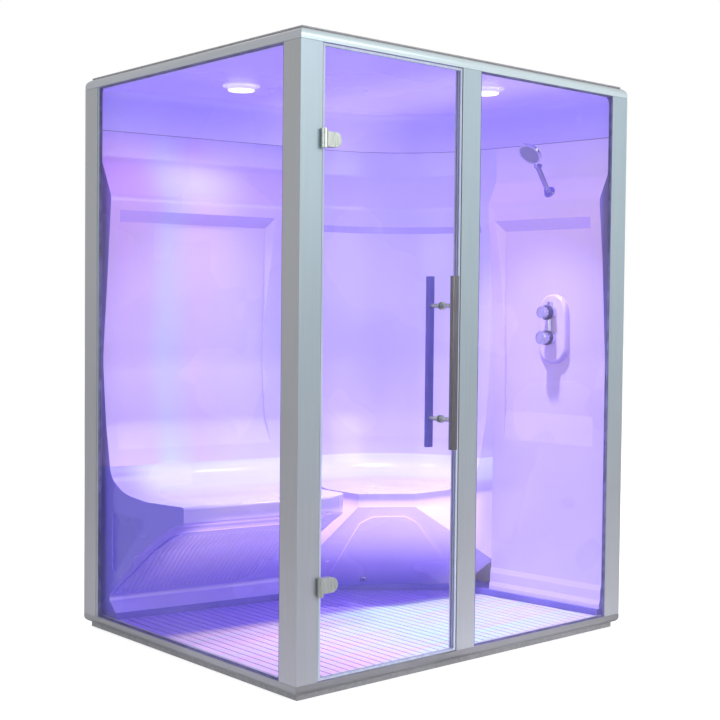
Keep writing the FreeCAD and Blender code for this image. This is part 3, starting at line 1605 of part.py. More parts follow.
def spray_ring():
    """Turning ring round the head with the small lever that picks the spray."""
    centre = head_centre()
    normal = head_normal()
    ring = rod(centre - normal * spray_ring_height, centre, head_radius)
    ring = ring.cut(rod(centre - normal * spray_ring_height, centre,
                        head_radius - spray_ring_width))
    upward = head_upward()
    lever = block(0, lever_length + spray_ring_width / 2, -lever_width / 2, lever_width / 2,
                  -spray_ring_height / 2, 0)
    lever = lever.makeFillet(lever_edge_radius, edges_at(lever, lambda c, e: c.x > lever_length))
    axes = FreeCAD.Matrix(upward.x, 0, normal.x, 0, upward.y, 1, normal.y, 0,
                          upward.z, 0, normal.z, 0, 0, 0, 0, 1)
    lever = lever.transformGeometry(axes)
    lever.translate(centre + upward * (head_radius - spray_ring_width / 2))
    return ring.fuse(lever).removeSplitter()


def tilt_knob():
    """Small knurled knob that holds the head's tilt."""
    start = tilt_point() - vec(0, hinge_eye_width / 2 + hinge_eye_gap + fork_cheek, 0)
    return rod(start, start - vec(0, tilt_knob_length, 0), tilt_knob_radius)


# ---- rear covers ---------------------------------------------------------------------------------
def rear_panel():
    """White cover panel that closes the back."""
    y1 = rear - panel_set_back
    panel = block(inner_left, inner_right, y1 - panel_thickness, y1, sill_top, head_bottom)
    return panel.cut(steam_run(steam_pipe_radius, rear))


def side_panel():
    """White cover panel that closes the right side."""
    x1 = right - panel_set_back
    panel = block(x1 - panel_thickness, x1, inner_front, inner_rear, sill_top, head_bottom)
    middle = (valve_lower_height + valve_upper_height) / 2
    for side in (-1, 1):
        y = valve_y + side * inlet_spacing / 2
        panel = panel.cut(rod(vec(x1 - panel_thickness, y, middle), vec(x1, y, middle), inlet_radius))
    return panel


def panel_battens():
    """Upright battens that the rear panels are fixed to."""
    y1 = rear - panel_set_back - panel_thickness
    x1 = right - panel_set_back - panel_thickness
    width = batten_width
    return Part.makeCompound([
        block(inner_left, inner_left + width, y1 - width, y1, sill_top, head_bottom),
        block(inner_right - width, inner_right, y1 - width, y1, sill_top, head_bottom),
        block(x1 - width, x1, inner_front, inner_front + width, sill_top, head_bottom),
        block(x1 - width, x1, inner_rear - width, inner_rear, sill_top, head_bottom)])


# ---- all pieces ----------------------------------------------------------------------------------
heads = mitred_rails(head_bottom, head_top, head_edge_radius, True)
sills = mitred_rails(plinth_height, sill_top, sill_edge_radius, False)
pieces = {
    "near_post": tube_post(left, left + post_face, front, front + post_face),
    "left_post": left_post(),
    "right_post": right_post(),
    "back_post": tube_post(inner_right, right, inner_rear, rear),
    "mullion": tube_post(mullion_left_edge, mullion_right_edge, front, inner_front),
    "head_rail_front": heads[0],
    "head_rail_right": heads[1],
    "head_rail_back": heads[2],
    "head_rail_left": heads[3],
    "sill_rail_front": sills[0],
    "sill_rail_right": sills[1],
    "sill_rail_back": sills[2],
    "sill_rail_left": sills[3],
    "roof_cap": roof_cap(),
    "plinth": plinth(),
    "levelling_feet": levelling_feet(),
    "side_glass": left_glass(),
    "side_glass_gasket": left_gasket(),
    "side_glass_bead": left_bead(),
    "fixed_glass": fixed_glass(),
    "fixed_glass_gasket": fixed_gasket(),
    "door_glass": door_glass(),
    "door_seal": door_seal(),
    "door_stop": door_stop(),
    "hinge_leaves": hinge_leaves(),
    "hinge_pins": hinge_pins(),
    "hinge_clamps": hinge_clamps(),
    "handle_outer_bar": handle_bar(-1),
    "handle_inner_bar": handle_bar(1),
    "handle_standoffs": handle_standoffs(),
    "roof_dome": roof_dome(),
    "back_wall": back_wall(),
    "corner_wall": corner_wall(),
    "shower_wall": shower_wall(),
    "back_bench": back_bench(),
    "corner_bench": corner_bench(),
    "steam_outlet": steam_outlet(),
    "steam_pipe": steam_pipe(),
    "floor_tray": floor_tray(),
    "floor_deck": floor_deck(),
    "drain_body": drain_body(),
    "drain_grate": drain_grate(),
    "light_rings": light_rings(),
    "light_lenses": light_lenses(),
    "light_housings": light_housings(),
    "valve_body": valve_body(),
    "valve_collars": valve_collars(),
    "upper_knob": knob(valve_upper_height, knob_upper_radius),
    "lower_knob": knob(valve_lower_height, knob_lower_radius),
    "stop_button": stop_button(),
    "supply_pipes": supply_pipes(),
    "shower_flange": shower_flange(),
    "shower_arm": shower_arm(),
    "shower_head": shower_head(),
    "shower_face": shower_face(),
    "spray_ring": spray_ring(),
    "tilt_knob": tilt_knob(),
    "rear_panel": rear_panel(),
    "side_panel": side_panel(),
    "panel_battens": panel_battens(),
}

os.makedirs("parts", exist_ok=True)
for name, shape in pieces.items():
    shape.exportStep("parts/" + name + ".step")
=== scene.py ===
from math import cos, radians, sin

import bmesh
import bpy
from mathutils import Matrix, Vector
from mathutils.bvhtree import BVHTree


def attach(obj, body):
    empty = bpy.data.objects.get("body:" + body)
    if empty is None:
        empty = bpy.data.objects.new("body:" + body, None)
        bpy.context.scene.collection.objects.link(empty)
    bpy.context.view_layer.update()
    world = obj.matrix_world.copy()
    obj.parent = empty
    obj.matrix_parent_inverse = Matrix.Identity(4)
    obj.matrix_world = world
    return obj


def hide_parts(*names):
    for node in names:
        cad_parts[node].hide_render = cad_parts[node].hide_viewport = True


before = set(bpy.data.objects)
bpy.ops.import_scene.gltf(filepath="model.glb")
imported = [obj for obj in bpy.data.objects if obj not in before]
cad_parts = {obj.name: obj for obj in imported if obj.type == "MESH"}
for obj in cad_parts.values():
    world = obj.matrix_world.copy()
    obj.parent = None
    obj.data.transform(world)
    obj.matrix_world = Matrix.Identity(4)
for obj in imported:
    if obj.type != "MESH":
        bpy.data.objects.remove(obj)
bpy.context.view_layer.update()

# ---- aluminium frame --------------------------------------------------------------------------
# Square posts, a mullion and mitred rails of extruded aluminium with a satin, faintly drawn
# surface. The corners are broken by a small radius, and the rails meet the posts edge to edge.
POST_EDGE = 0.0022
RAIL_EDGE = 0.0012
WELD_REACH = 0.00001
CABIN_HEIGHT = 2.15
DRAWN_UPRIGHT = (900.0, 900.0, 4.0)
DRAWN_LEVEL = (4.0, 4.0, 900.0)
POSTS = ("near_post", "left_post", "right_post", "back_post", "mullion")
RAILS = ("head_rail_front", "head_rail_right", "head_rail_back", "head_rail_left",
         "sill_rail_front", "sill_rail_right", "sill_rail_back", "sill_rail_left")


def shade(red, green, blue):
    """Linear colour of a shade written in 0 to 255."""
    return tuple((value / 255) ** 2.2 for value in (red, green, blue)) + (1.0,)


def new_finish(name, colour, roughness, metallic=0.0):
    """Material with one main shader and its constant values."""
    material = bpy.data.materials.new(name)
    material.use_nodes = True
    tree = material.node_tree
    shader = tree.nodes["Principled BSDF"]
    shader.inputs["Base Color"].default_value = colour
    shader.inputs["Roughness"].default_value = roughness
    shader.inputs["Metallic"].default_value = metallic
    return material, tree, shader


def place_of(tree):
    """Object-space position, and its x, y and z."""
    where = tree.nodes.new("ShaderNodeTexCoord").outputs["Object"]
    split = tree.nodes.new("ShaderNodeSeparateXYZ")
    tree.links.new(where, split.inputs[0])
    return where, split.outputs["X"], split.outputs["Y"], split.outputs["Z"]


def stretched(tree, where, scale):
    """Position stretched along the axes, for drawn or cloudy patterns."""
    mapping = tree.nodes.new("ShaderNodeMapping")
    mapping.inputs["Scale"].default_value = scale
    tree.links.new(where, mapping.inputs["Vector"])
    return mapping.outputs["Vector"]


def cloud(tree, where, size, detail=3.0):
    """Soft noise of a given scale."""
    noise = tree.nodes.new("ShaderNodeTexNoise")
    noise.inputs["Scale"].default_value = size
    noise.inputs["Detail"].default_value = detail
    tree.links.new(where, noise.inputs["Vector"])
    return noise.outputs["Fac"]


def span(tree, source, low, high, to_low=0.0, to_high=1.0, smooth=True):
    """Carries a value from one range to another."""
    node = tree.nodes.new("ShaderNodeMapRange")
    node.interpolation_type = "SMOOTHSTEP" if smooth else "LINEAR"
    for slot, value in zip((1, 2, 3, 4), (low, high, to_low, to_high)):
        node.inputs[slot].default_value = value
    tree.links.new(source, node.inputs[0])
    return node.outputs[0]


def ramp(tree, source, stops):
    """Colour band over a value from 0 to 1."""
    node = tree.nodes.new("ShaderNodeValToRGB")
    points = node.color_ramp.elements
    points[0].position, points[0].color = stops[0]
    points[1].position, points[1].color = stops[-1]
    for position, colour in stops[1:-1]:
        points.new(position).color = colour
    tree.links.new(source, node.inputs[0])
    return node.outputs[0]


def blend_of(tree, factor, first, second, kind="MIX"):
    """Mixes two colours or sockets."""
    node = tree.nodes.new("ShaderNodeMix")
    node.data_type = "RGBA"
    node.blend_type = kind
    for slot, value in ((0, factor), (6, first), (7, second)):
        if isinstance(value, (int, float, tuple)):
            node.inputs[slot].default_value = value
        else:
            tree.links.new(value, node.inputs[slot])
    return node.outputs[2]


def relief(tree, shader, height, depth):
    """Fine surface relief."""
    node = tree.nodes.new("ShaderNodeBump")
    node.inputs["Strength"].default_value = 1.0
    node.inputs["Distance"].default_value = depth
    tree.links.new(height, node.inputs["Height"])
    tree.links.new(node.outputs["Normal"], shader.inputs["Normal"])


def facing(tree, axis):
    """How far the surface looks along +X, +Y or +Z."""
    geometry = tree.nodes.new("ShaderNodeNewGeometry")
    split = tree.nodes.new("ShaderNodeSeparateXYZ")
    tree.links.new(geometry.outputs["Normal"], split.inputs[0])
    return split.outputs[axis]


def drawn_alloy(name, front, side, grain):
    """Satin extruded aluminium with painted light and shade: cooler where it faces front and high
    up.
    """
    material, tree, shader = new_finish(name, side[0][1], 0.36, 0.25)
    where, x, y, z = place_of(tree)
    height = span(tree, z, 0.0, CABIN_HEIGHT, smooth=False)
    cool = ramp(tree, height, front)
    to_front = span(tree, facing(tree, "Y"), -0.2, -0.8)
    body = blend_of(tree, to_front, ramp(tree, height, side), cool)
    lines = cloud(tree, stretched(tree, where, grain), 1.0, 2.0)
    tone = span(tree, lines, 0.3, 0.7, 0.95, 1.05, smooth=False)
    tree.links.new(blend_of(tree, 1.0, body, tone, "MULTIPLY"), shader.inputs["Base Color"])
    tree.links.new(span(tree, lines, 0.3, 0.7, 0.30, 0.42), shader.inputs["Roughness"])
    relief(tree, shader, lines, 0.00006)
    return material


# Painted light and shade: the front faces grade by height, lighter and cooler high up, the sills
# darker than the head rails, and the sides grade between paler and darker shades.
UPRIGHT_FRONT_PAINTED_LIGHT = [(0.0, shade(190, 193, 199)), (0.25, shade(182, 187, 195)),
                  (0.5, shade(178, 194, 203)), (0.8, shade(182, 202, 212)),
                  (1.0, shade(186, 206, 217))]
LEVEL_FRONT_PAINTED_LIGHT = [(0.0, shade(150, 149, 152)), (0.5, shade(180, 190, 196)),
                (1.0, shade(222, 240, 246))]
UPRIGHT_SIDE_PAINTED_SHADE = [(0.0, shade(198, 199, 205)), (0.4, shade(182, 185, 190)),
                 (1.0, shade(174, 177, 181))]
LEVEL_SIDE_PAINTED_SHADE = [(0.0, shade(174, 176, 179)), (1.0, shade(188, 193, 200))]
upright_alloy = drawn_alloy("satin_alloy_upright_painted_light", UPRIGHT_FRONT_PAINTED_LIGHT, UPRIGHT_SIDE_PAINTED_SHADE, DRAWN_UPRIGHT)
level_alloy = drawn_alloy("satin_alloy_level_painted_light", LEVEL_FRONT_PAINTED_LIGHT, LEVEL_SIDE_PAINTED_SHADE, DRAWN_LEVEL)


def eased(node, edge, material, body="cabin"):
    """A CAD piece with its sharp edges broken by a small radius."""
    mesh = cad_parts[node].data.copy()
    solid = bmesh.new()
    solid.from_mesh(mesh)
    bmesh.ops.remove_doubles(solid, verts=solid.verts, dist=WELD_REACH)
    bmesh.ops.dissolve_limit(solid, angle_limit=radians(0.5), verts=solid.verts, edges=solid.edges)
    solid.to_mesh(mesh)
    solid.free()
    piece = bpy.data.objects.new(node + "_eased", mesh)
    bpy.context.scene.collection.objects.link(piece)
    bevel = piece.modifiers.new("edge", "BEVEL")
    bevel.width = edge
    bevel.segments = 2
    bevel.limit_method = "ANGLE"
    bevel.angle_limit = radians(40)
    bevel.harden_normals = True
    finished = bpy.data.meshes.new_from_object(
        piece.evaluated_get(bpy.context.evaluated_depsgraph_get()))
    piece.modifiers.clear()
    piece.data = finished
    finished.materials.clear()
    finished.materials.append(material)
    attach(piece, body)
    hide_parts(node)


for post in POSTS:
    eased(post, POST_EDGE, upright_alloy)
for rail in RAILS:
    eased(rail, RAIL_EDGE, level_alloy)

# ---- roof cap, plinth and feet ----------------------------------------------------------------
# The cap is a flat pale sheet lying on the head rails, the plinth a set-back base strip under
# the sill. Both are coated board. The screw feet under the tray are black rubber.
BOARD_EDGE = 0.001
coated_board, tree, shader = new_finish("coated_board", shade(176, 176, 180), 0.5)
where, x, y, z = place_of(tree)
speckle = cloud(tree, where, 60.0, 4.0)
tree.links.new(blend_of(tree, span(tree, speckle, 0.35, 0.65), shade(170, 170, 175),
                        shade(184, 184, 188)), shader.inputs["Base Color"])
relief(tree, shader, speckle, 0.0001)
eased("roof_cap", BOARD_EDGE, coated_board)
eased("plinth", BOARD_EDGE, coated_board)


def dress(material, *nodes):
    """Gives CAD pieces their finish."""
    for node in nodes:
        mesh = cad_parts[node].data
        mesh.materials.clear()
        mesh.materials.append(material)


foot_rubber, tree, shader = new_finish("foot_rubber", shade(38, 38, 40), 0.8)
where, x, y, z = place_of(tree)
relief(tree, shader, cloud(tree, where, 400.0), 0.0003)
dress(foot_rubber, "levelling_feet")

# ---- glazing ----------------------------------------------------------------------------------
# Three toughened panes stand in pale flexible gaskets, the door's own frame seal is clear
# vinyl. The panes are nearly invisible, with a faint film of dust and a cool edge.
BEAD_EDGE = 0.001
pane_glass, tree, shader = new_finish("pane_glass", shade(222, 224, 255), 0.04)
shader.inputs["Specular IOR Level"].default_value = 0.8
where, x, y, z = place_of(tree)
film = cloud(tree, where, 3.0, 5.0)
tree.links.new(span(tree, film, 0.3, 0.7, 0.045, 0.07), shader.inputs["Alpha"])
tree.links.new(span(tree, film, 0.3, 0.7, 0.03, 0.06), shader.inputs["Roughness"])
dress(pane_glass, "side_glass", "fixed_glass", "door_glass")

gasket_vinyl, tree, shader = new_finish("gasket_vinyl", shade(120, 120, 160), 0.45)
where, x, y, z = place_of(tree)
tone = cloud(tree, where, 25.0)
tree.links.new(blend_of(tree, span(tree, tone, 0.35, 0.65), shade(104, 102, 150),
                        shade(128, 124, 180)), shader.inputs["Base Color"])
relief(tree, shader, tone, 0.0002)
dress(gasket_vinyl, "side_glass_gasket", "fixed_glass_gasket", "door_stop")

door_vinyl, tree, shader = new_finish("door_vinyl", shade(214, 226, 246), 0.35)
where, x, y, z = place_of(tree)
tone = cloud(tree, stretched(tree, where, (60.0, 60.0, 3.0)), 1.0)
tree.links.new(blend_of(tree, span(tree, tone, 0.35, 0.65), shade(204, 216, 244),
                        shade(222, 232, 250)), shader.inputs["Base Color"])
tree.links.new(span(tree, tone, 0.3, 0.7, 0.3, 0.42), shader.inputs["Roughness"])
dress(door_vinyl, "door_seal")
eased("side_glass_bead", BEAD_EDGE, upright_alloy)

# ---- hinges -----------------------------------------------------------------------------------
# Glass door hinges in satin steel: a round-ended clamp on each face of the pane, bolted
# through it, and knuckles on a pin at the post.
satin_steel, tree, shader = new_finish("satin_steel", shade(178, 184, 178), 0.28, 0.9)
where, x, y, z = place_of(tree)
lines = cloud(tree, stretched(tree, where, (1400.0, 1400.0, 30.0)), 1.0)
tree.links.new(blend_of(tree, span(tree, lines, 0.35, 0.65), shade(166, 174, 168),
                        shade(196, 200, 196)), shader.inputs["Base Color"])
tree.links.new(span(tree, lines, 0.3, 0.7, 0.22, 0.36), shader.inputs["Roughness"])
relief(tree, shader, lines, 0.00004)
dress(satin_steel, "hinge_leaves", "hinge_pins", "hinge_clamps")

# ---- door handle ------------------------------------------------------------------------------
# Two flat-sided upright bars, one on each face of the door, brushed along their length, with turned
# spacers and washers between bar and glass. The inner bar's violet is a painted reflection of the
# room's light.
BAR_EDGE = 0.0006


def brushed_bar(name, body, metal, dark, light):
    """Steel brushed along the bar, between a dark and a light shade."""
    material, tree, shader = new_finish(name, body, 0.3, metal)
    where, x, y, z = place_of(tree)
    lines = cloud(tree, stretched(tree, where, (2200.0, 2200.0, 12.0)), 1.0)
    tree.links.new(blend_of(tree, span(tree, lines, 0.3, 0.7), dark, light),
                   shader.inputs["Base Color"])
    tree.links.new(span(tree, lines, 0.3, 0.7, 0.24, 0.4), shader.inputs["Roughness"])
    relief(tree, shader, lines, 0.00005)
    return material


bar_steel = brushed_bar("bar_steel", shade(120, 118, 122), 1.0, shade(96, 95, 100),
                        shade(142, 140, 146))
# Painted reflection: the room's violet light painted into the inner bar's steel.
inner_steel_painted_violet = brushed_bar("inner_steel_painted_violet", shade(96, 84, 200), 0.7, shade(84, 72, 196),
                          shade(108, 94, 214))
eased("handle_outer_bar", BAR_EDGE, bar_steel, "door")
eased("handle_inner_bar", BAR_EDGE, inner_steel_painted_violet, "door")
dress(satin_steel, "handle_standoffs")

# ---- moulded ceiling and walls ----------------------------------------------------------------
# Vacuum-formed acrylic, 12 mm at the edges: a coved ceiling with a skirt, then a back wall, a
# rounded corner and a shower wall, each with a backrest bulge and a sunk panel. Its lavender base
# colour is a faint real tint deepened by the cabin's violet light painted in, and its glow and the
# darker end and downward faces are painted light and shade.
WALL_LEFT = -0.785
MODULE_JOINT = 0.033
WALL_SEAM = 1.949
CEILING = 2.11
SEAT_LINE = 0.56
# Centre of the painted bright spot on the back wall's brow.
BROW_SPOT_X = -0.41
BROW_SPOT_Z = 1.76
LAVENDER_WITH_PAINTED_LIGHT = shade(176, 160, 238)


def worked(tree, kind, first, second):
    """Arithmetic on two values or sockets."""
    node = tree.nodes.new("ShaderNodeMath")
    node.operation = kind
    for slot, value in ((0, first), (1, second)):
        if isinstance(value, (int, float)):
            node.inputs[slot].default_value = value
        else:
            tree.links.new(value, node.inputs[slot])
    return node.outputs[0]


def acrylic(name, light):
    """Glossy acrylic with painted light and shade; light builds the painted glow that it gives off
    from its position.
    """
    material, tree, shader = new_finish(name, LAVENDER_WITH_PAINTED_LIGHT, 0.26)
    shader.inputs["Coat Weight"].default_value = 0.25
    shader.inputs["Coat Roughness"].default_value = 0.15
    where, x, y, z = place_of(tree)
    mottled = cloud(tree, where, 2.2, 2.0)
    # Painted shade: end faces turned to the left glass and to the front are darkened, the sunk end
    # panel darker still, faces looking down under the ceiling darker, and a painted shadow line
    # runs along the joint of wall and ceiling.
    left_end_shade = worked(tree, "MULTIPLY", span(tree, facing(tree, "X"), -0.45, -0.85),
                      span(tree, x, -0.45, -0.6))
    front_end_shade = worked(tree, "MULTIPLY", span(tree, facing(tree, "Y"), -0.3, -0.7),
                       span(tree, y, -0.5, -0.58))
    end_face_shade = worked(tree, "MAXIMUM", left_end_shade, front_end_shade)
    below = worked(tree, "MULTIPLY", span(tree, facing(tree, "Z"), -0.05, -0.45),
                   span(tree, z, 2.02, 1.95))
    sunk = worked(tree, "MULTIPLY", span(tree, x, WALL_LEFT + 0.0008, WALL_LEFT + 0.0028),
                  span(tree, x, WALL_LEFT + 0.010, WALL_LEFT + 0.006))
    off_seam = worked(tree, "ABSOLUTE", worked(tree, "SUBTRACT", z, WALL_SEAM), 0.0)
    seam_shadow = span(tree, off_seam, 0.0016, 0.0006)

    tone = blend_of(tree, span(tree, mottled, 0.3, 0.7), shade(170, 154, 236), shade(184, 166, 242))
    end_face_painted_shade = blend_of(tree, worked(tree, "MULTIPLY", sunk, 0.45), shade(126, 110, 250),
                        shade(92, 76, 224))
    tone = blend_of(tree, end_face_shade, tone, end_face_painted_shade)
    tone = blend_of(tree, worked(tree, "MULTIPLY", below, 0.5), tone, shade(132, 112, 232))
    tree.links.new(blend_of(tree, seam_shadow, tone, shade(60, 46, 120)), shader.inputs["Base Color"])
    tree.links.new(span(tree, mottled, 0.3, 0.7, 0.22, 0.3), shader.inputs["Roughness"])
    relief(tree, shader, cloud(tree, where, 140.0, 1.0), 0.00005)

    # Painted glow: the light function's emission, dimmed on the shaded end and downward faces, cut
    # out along the joint of wall and ceiling, and brighter on faces that look up.
    tree.links.new(light(tree, x, z), shader.inputs["Emission Color"])
    kept_by_end = worked(tree, "SUBTRACT", 1.0, worked(tree, "MULTIPLY", end_face_shade, 0.8))
    kept_below = worked(tree, "SUBTRACT", 1.0, worked(tree, "MULTIPLY", below, 0.38))
    raised = span(tree, facing(tree, "Z"), 0.08, 0.7, 1.0, 1.35)
    kept = worked(tree, "MULTIPLY", worked(tree, "MULTIPLY", kept_by_end, kept_below), raised)
    tree.links.new(worked(tree, "MULTIPLY", kept, worked(tree, "SUBTRACT", 1.0, seam_shadow)),
                   shader.inputs["Emission Strength"])
    return material


def ceiling_light(tree, x, z):
    """Painted violet glow, paler over the middle of the room."""
    rise = ramp(tree, span(tree, z, 1.95, CEILING, smooth=False),
                [(0.0, shade(102, 88, 160)), (0.6, shade(86, 74, 156)), (1.0, shade(88, 74, 158))])
    middle = worked(tree, "MULTIPLY", span(tree, x, -0.25, 0.15), span(tree, x, 0.65, 0.3))
    return blend_of(tree, middle, rise, shade(132, 118, 158))


def back_light(tree, x, z):
    """Painted light that rises from the seat line in soft upright bands of pink and pale blue, with
    a painted bright spot on the brow.
    """
    rise = ramp(tree, span(tree, z, SEAT_LINE, 1.95, smooth=False),
                [(0.0, shade(190, 200, 110)), (0.05, shade(156, 166, 96)),
                 (0.17, shade(114, 116, 90)), (0.42, shade(128, 132, 112)),
                 (0.7, shade(134, 122, 118)), (0.80, shade(150, 132, 150)),
                 (0.88, shade(148, 128, 156)), (0.95, shade(126, 106, 150)),
                 (1.0, shade(96, 80, 150))])
    bands = ramp(tree, span(tree, x, WALL_LEFT, MODULE_JOINT, smooth=False),
                 [(0.0, shade(236, 180, 255)), (0.1, shade(255, 196, 255)),
                  (0.22, shade(250, 200, 255)), (0.31, shade(226, 255, 255)),
                  (0.38, shade(236, 236, 250)), (0.47, shade(255, 204, 244)),
                  (0.67, shade(226, 202, 250)), (0.9, shade(206, 192, 250)),
                  (1.0, shade(196, 182, 250))])
    lit = blend_of(tree, 1.0, rise, bands, "MULTIPLY")
    # Painted highlight: a soft bright spot on the brow.
    aside = worked(tree, "ABSOLUTE", worked(tree, "SUBTRACT", x, BROW_SPOT_X), 0.0)
    off = worked(tree, "ABSOLUTE", worked(tree, "SUBTRACT", z, BROW_SPOT_Z), 0.0)
    spot = worked(tree, "MULTIPLY", span(tree, aside, 0.3, 0.0), span(tree, off, 0.15, 0.0))
    return blend_of(tree, spot, lit, shade(178, 170, 160))


def corner_light(tree, x, z):
    """Painted violet glow that grows stronger above the corner seat."""
    return ramp(tree, span(tree, z, SEAT_LINE, 1.95, smooth=False),
                [(0.0, shade(130, 134, 90)), (0.1, shade(92, 80, 84)),
                 (0.3, shade(104, 92, 106)), (0.55, shade(124, 114, 128)),
                 (0.8, shade(118, 106, 136)), (1.0, shade(108, 98, 148))])


def shower_light(tree, x, z):
    """Painted pinkish violet glow, strongest on the brow over the valve."""
    return ramp(tree, span(tree, z, 0.1, 2.1, smooth=False),
                [(0.0, shade(118, 106, 100)), (0.2, shade(104, 90, 88)),
                 (0.38, shade(90, 70, 60)), (0.6, shade(116, 94, 96)),
                 (0.76, shade(150, 120, 130)), (0.88, shade(138, 118, 148)),
                 (1.0, shade(98, 86, 150))])


dress(acrylic("acrylic_ceiling", ceiling_light), "roof_dome")
dress(acrylic("acrylic_back", back_light), "back_wall")
dress(acrylic("acrylic_corner", corner_light), "corner_wall")
dress(acrylic("acrylic_shower", shower_light), "shower_wall")


# ---- benches ----------------------------------------------------------------------------------
# Hollow moulded benches under the walls: a dished seat, a slim fascia and an undercut front
# with a raised panel. The back bench's panel carries fine upright ribs.
def bench_light(tree, x, z):
    """Painted glow: violet under the seat, fading dark to the floor, paler on the corner bench and
    near the shower wall, dark on the left end, and a painted bright line where seat meets wall.
    """
    seat = ramp(tree, span(tree, z, 0.5, 0.62, smooth=False),
                [(0.0, shade(70, 50, 110)), (0.3, shade(96, 84, 90)),
                 (0.45, shade(120, 132, 72)), (1.0, shade(146, 156, 86))])
    under = ramp(tree, span(tree, z, 0.08, 0.5, smooth=False),
                 [(0.0, shade(18, 10, 80)), (0.25, shade(78, 58, 124)),
                  (0.62, shade(168, 142, 190)), (0.9, shade(186, 160, 190)),
                  (1.0, shade(120, 96, 146))])
    paler = blend_of(tree, 1.0, under, (1.9, 1.9, 1.4, 1.0), "MULTIPLY")
    under = blend_of(tree, span(tree, x, 0.0, 0.08), under, paler)
    under = blend_of(tree, span(tree, x, 0.5, 0.68), under, shade(146, 128, 160))
    lit = blend_of(tree, span(tree, z, 0.485, 0.505), under, seat)
    return blend_of(tree, span(tree, x, -0.76, -0.6), shade(34, 22, 112), lit)


bench_acrylic = acrylic("acrylic_bench", bench_light)
dress(bench_acrylic, "back_bench", "corner_bench")

RIB_PITCH = 0.020
RIB_WIDTH = 0.009
RIB_RISE = 0.0016
RIB_FIRST = 0.055
RIB_LAST = 0.675
RIB_FOOT = 0.150
RIB_TOP = 0.405
RIB_STEP = 0.018
RIB_SECTION = [(-0.5, -0.3), (-0.28, 0.75), (0.0, 1.0), (0.28, 0.75), (0.5, -0.3)]
WALL_SPLAY = radians(8.77)
wall_start = Vector((WALL_LEFT, 0.618, 0.0))
wall_run = Vector((cos(WALL_SPLAY), -sin(WALL_SPLAY), 0.0))
wall_out = Vector((wall_run.y, -wall_run.x, 0.0))
bench_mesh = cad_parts["back_bench"].data
bench_tree = BVHTree.FromPolygons([vertex.co for vertex in bench_mesh.vertices],
                                  [tuple(face.vertices) for face in bench_mesh.polygons])
ribs = bmesh.new()
along = RIB_FIRST
while along < RIB_LAST:
    top = min(RIB_FOOT + (along - 0.030) / 0.110 * 0.288 - 0.030, RIB_TOP)
    count = max(int((top - RIB_FOOT) / RIB_STEP), 2)
    rings = []
    for step in range(count + 1):
        level = RIB_FOOT + (top - RIB_FOOT) * step / count
        start = wall_start + wall_run * along + wall_out * 0.62 + Vector((0, 0, level))
        spot, normal = bench_tree.ray_cast(start, -wall_out)[:2]
        if spot is None:
            continue
        if normal.dot(wall_out) < 0:
            normal = -normal
        fade = min(1.0, 4.0 * min(step, count - step) / count + 0.15)
        rings.append([ribs.verts.new(spot + wall_run * (RIB_WIDTH * across)
                                     + normal * (RIB_RISE * rise * (fade if rise > 0 else 1.0)))
                      for across, rise in RIB_SECTION])
    for lower, upper in zip(rings, rings[1:]):
        for index in range(len(lower)):
            after = (index + 1) % len(lower)
            ribs.faces.new((lower[index], lower[after], upper[after], upper[index]))
    ribs.faces.new(list(reversed(rings[0])))
    ribs.faces.new(rings[-1])
    along += RIB_PITCH
bmesh.ops.recalc_face_normals(ribs, faces=ribs.faces)
rib_mesh = bpy.data.meshes.new("bench_ribs")
ribs.to_mesh(rib_mesh)
ribs.free()
for face in rib_mesh.polygons:
    face.use_smooth = True
rib_mesh.materials.append(bench_acrylic)
bench_ribs = bpy.data.objects.new("bench_ribs", rib_mesh)
bpy.context.scene.collection.objects.link(bench_ribs)
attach(bench_ribs, "cabin")

# ---- tray, deck and drain ---------------------------------------------------------------------
# A moulded tray with a raised ledge carries the walls. In it lies a slatted deck of pale moulded
# boards over the drain. The room's coloured light, the bench's shadow and the shade in the slat
# gaps are painted onto tray and deck.
# Painted light: the tray's violet base colour and its faint glow, darker towards the bottom, stand
# in for the room's light.
tray_acrylic, tree, shader = new_finish("tray_acrylic", shade(132, 118, 214), 0.35)
where, x, y, z = place_of(tree)
mottled = cloud(tree, where, 5.0)
tree.links.new(blend_of(tree, span(tree, mottled, 0.3, 0.7), shade(104, 90, 190),
                        shade(120, 106, 204)), shader.inputs["Base Color"])
tree.links.new(span(tree, mottled, 0.3, 0.7, 0.3, 0.42), shader.inputs["Roughness"])
tree.links.new(ramp(tree, span(tree, z, 0.03, 0.08), [(0.0, shade(16, 12, 60)),
                                                      (1.0, shade(30, 22, 88))]),
               shader.inputs["Emission Color"])
shader.inputs["Emission Strength"].default_value = 1.0
dress(tray_acrylic, "floor_tray")

DECK_TOP = 0.050
deck_board, tree, shader = new_finish("deck_board", shade(214, 208, 250), 0.42)
where, x, y, z = place_of(tree)
streaks = cloud(tree, stretched(tree, where, (40.0, 3.0, 40.0)), 1.0, 4.0)
# Painted shadow: the deck behind a line under the bench front is shaded, and the slat gaps carry
# painted shade.
bench_shadow_mask = span(tree, worked(tree, "ADD", y, worked(tree, "MULTIPLY", x, 0.13)), 0.0, 0.09)
slat_gap_shade = span(tree, z, DECK_TOP - 0.0004, DECK_TOP - 0.0030)
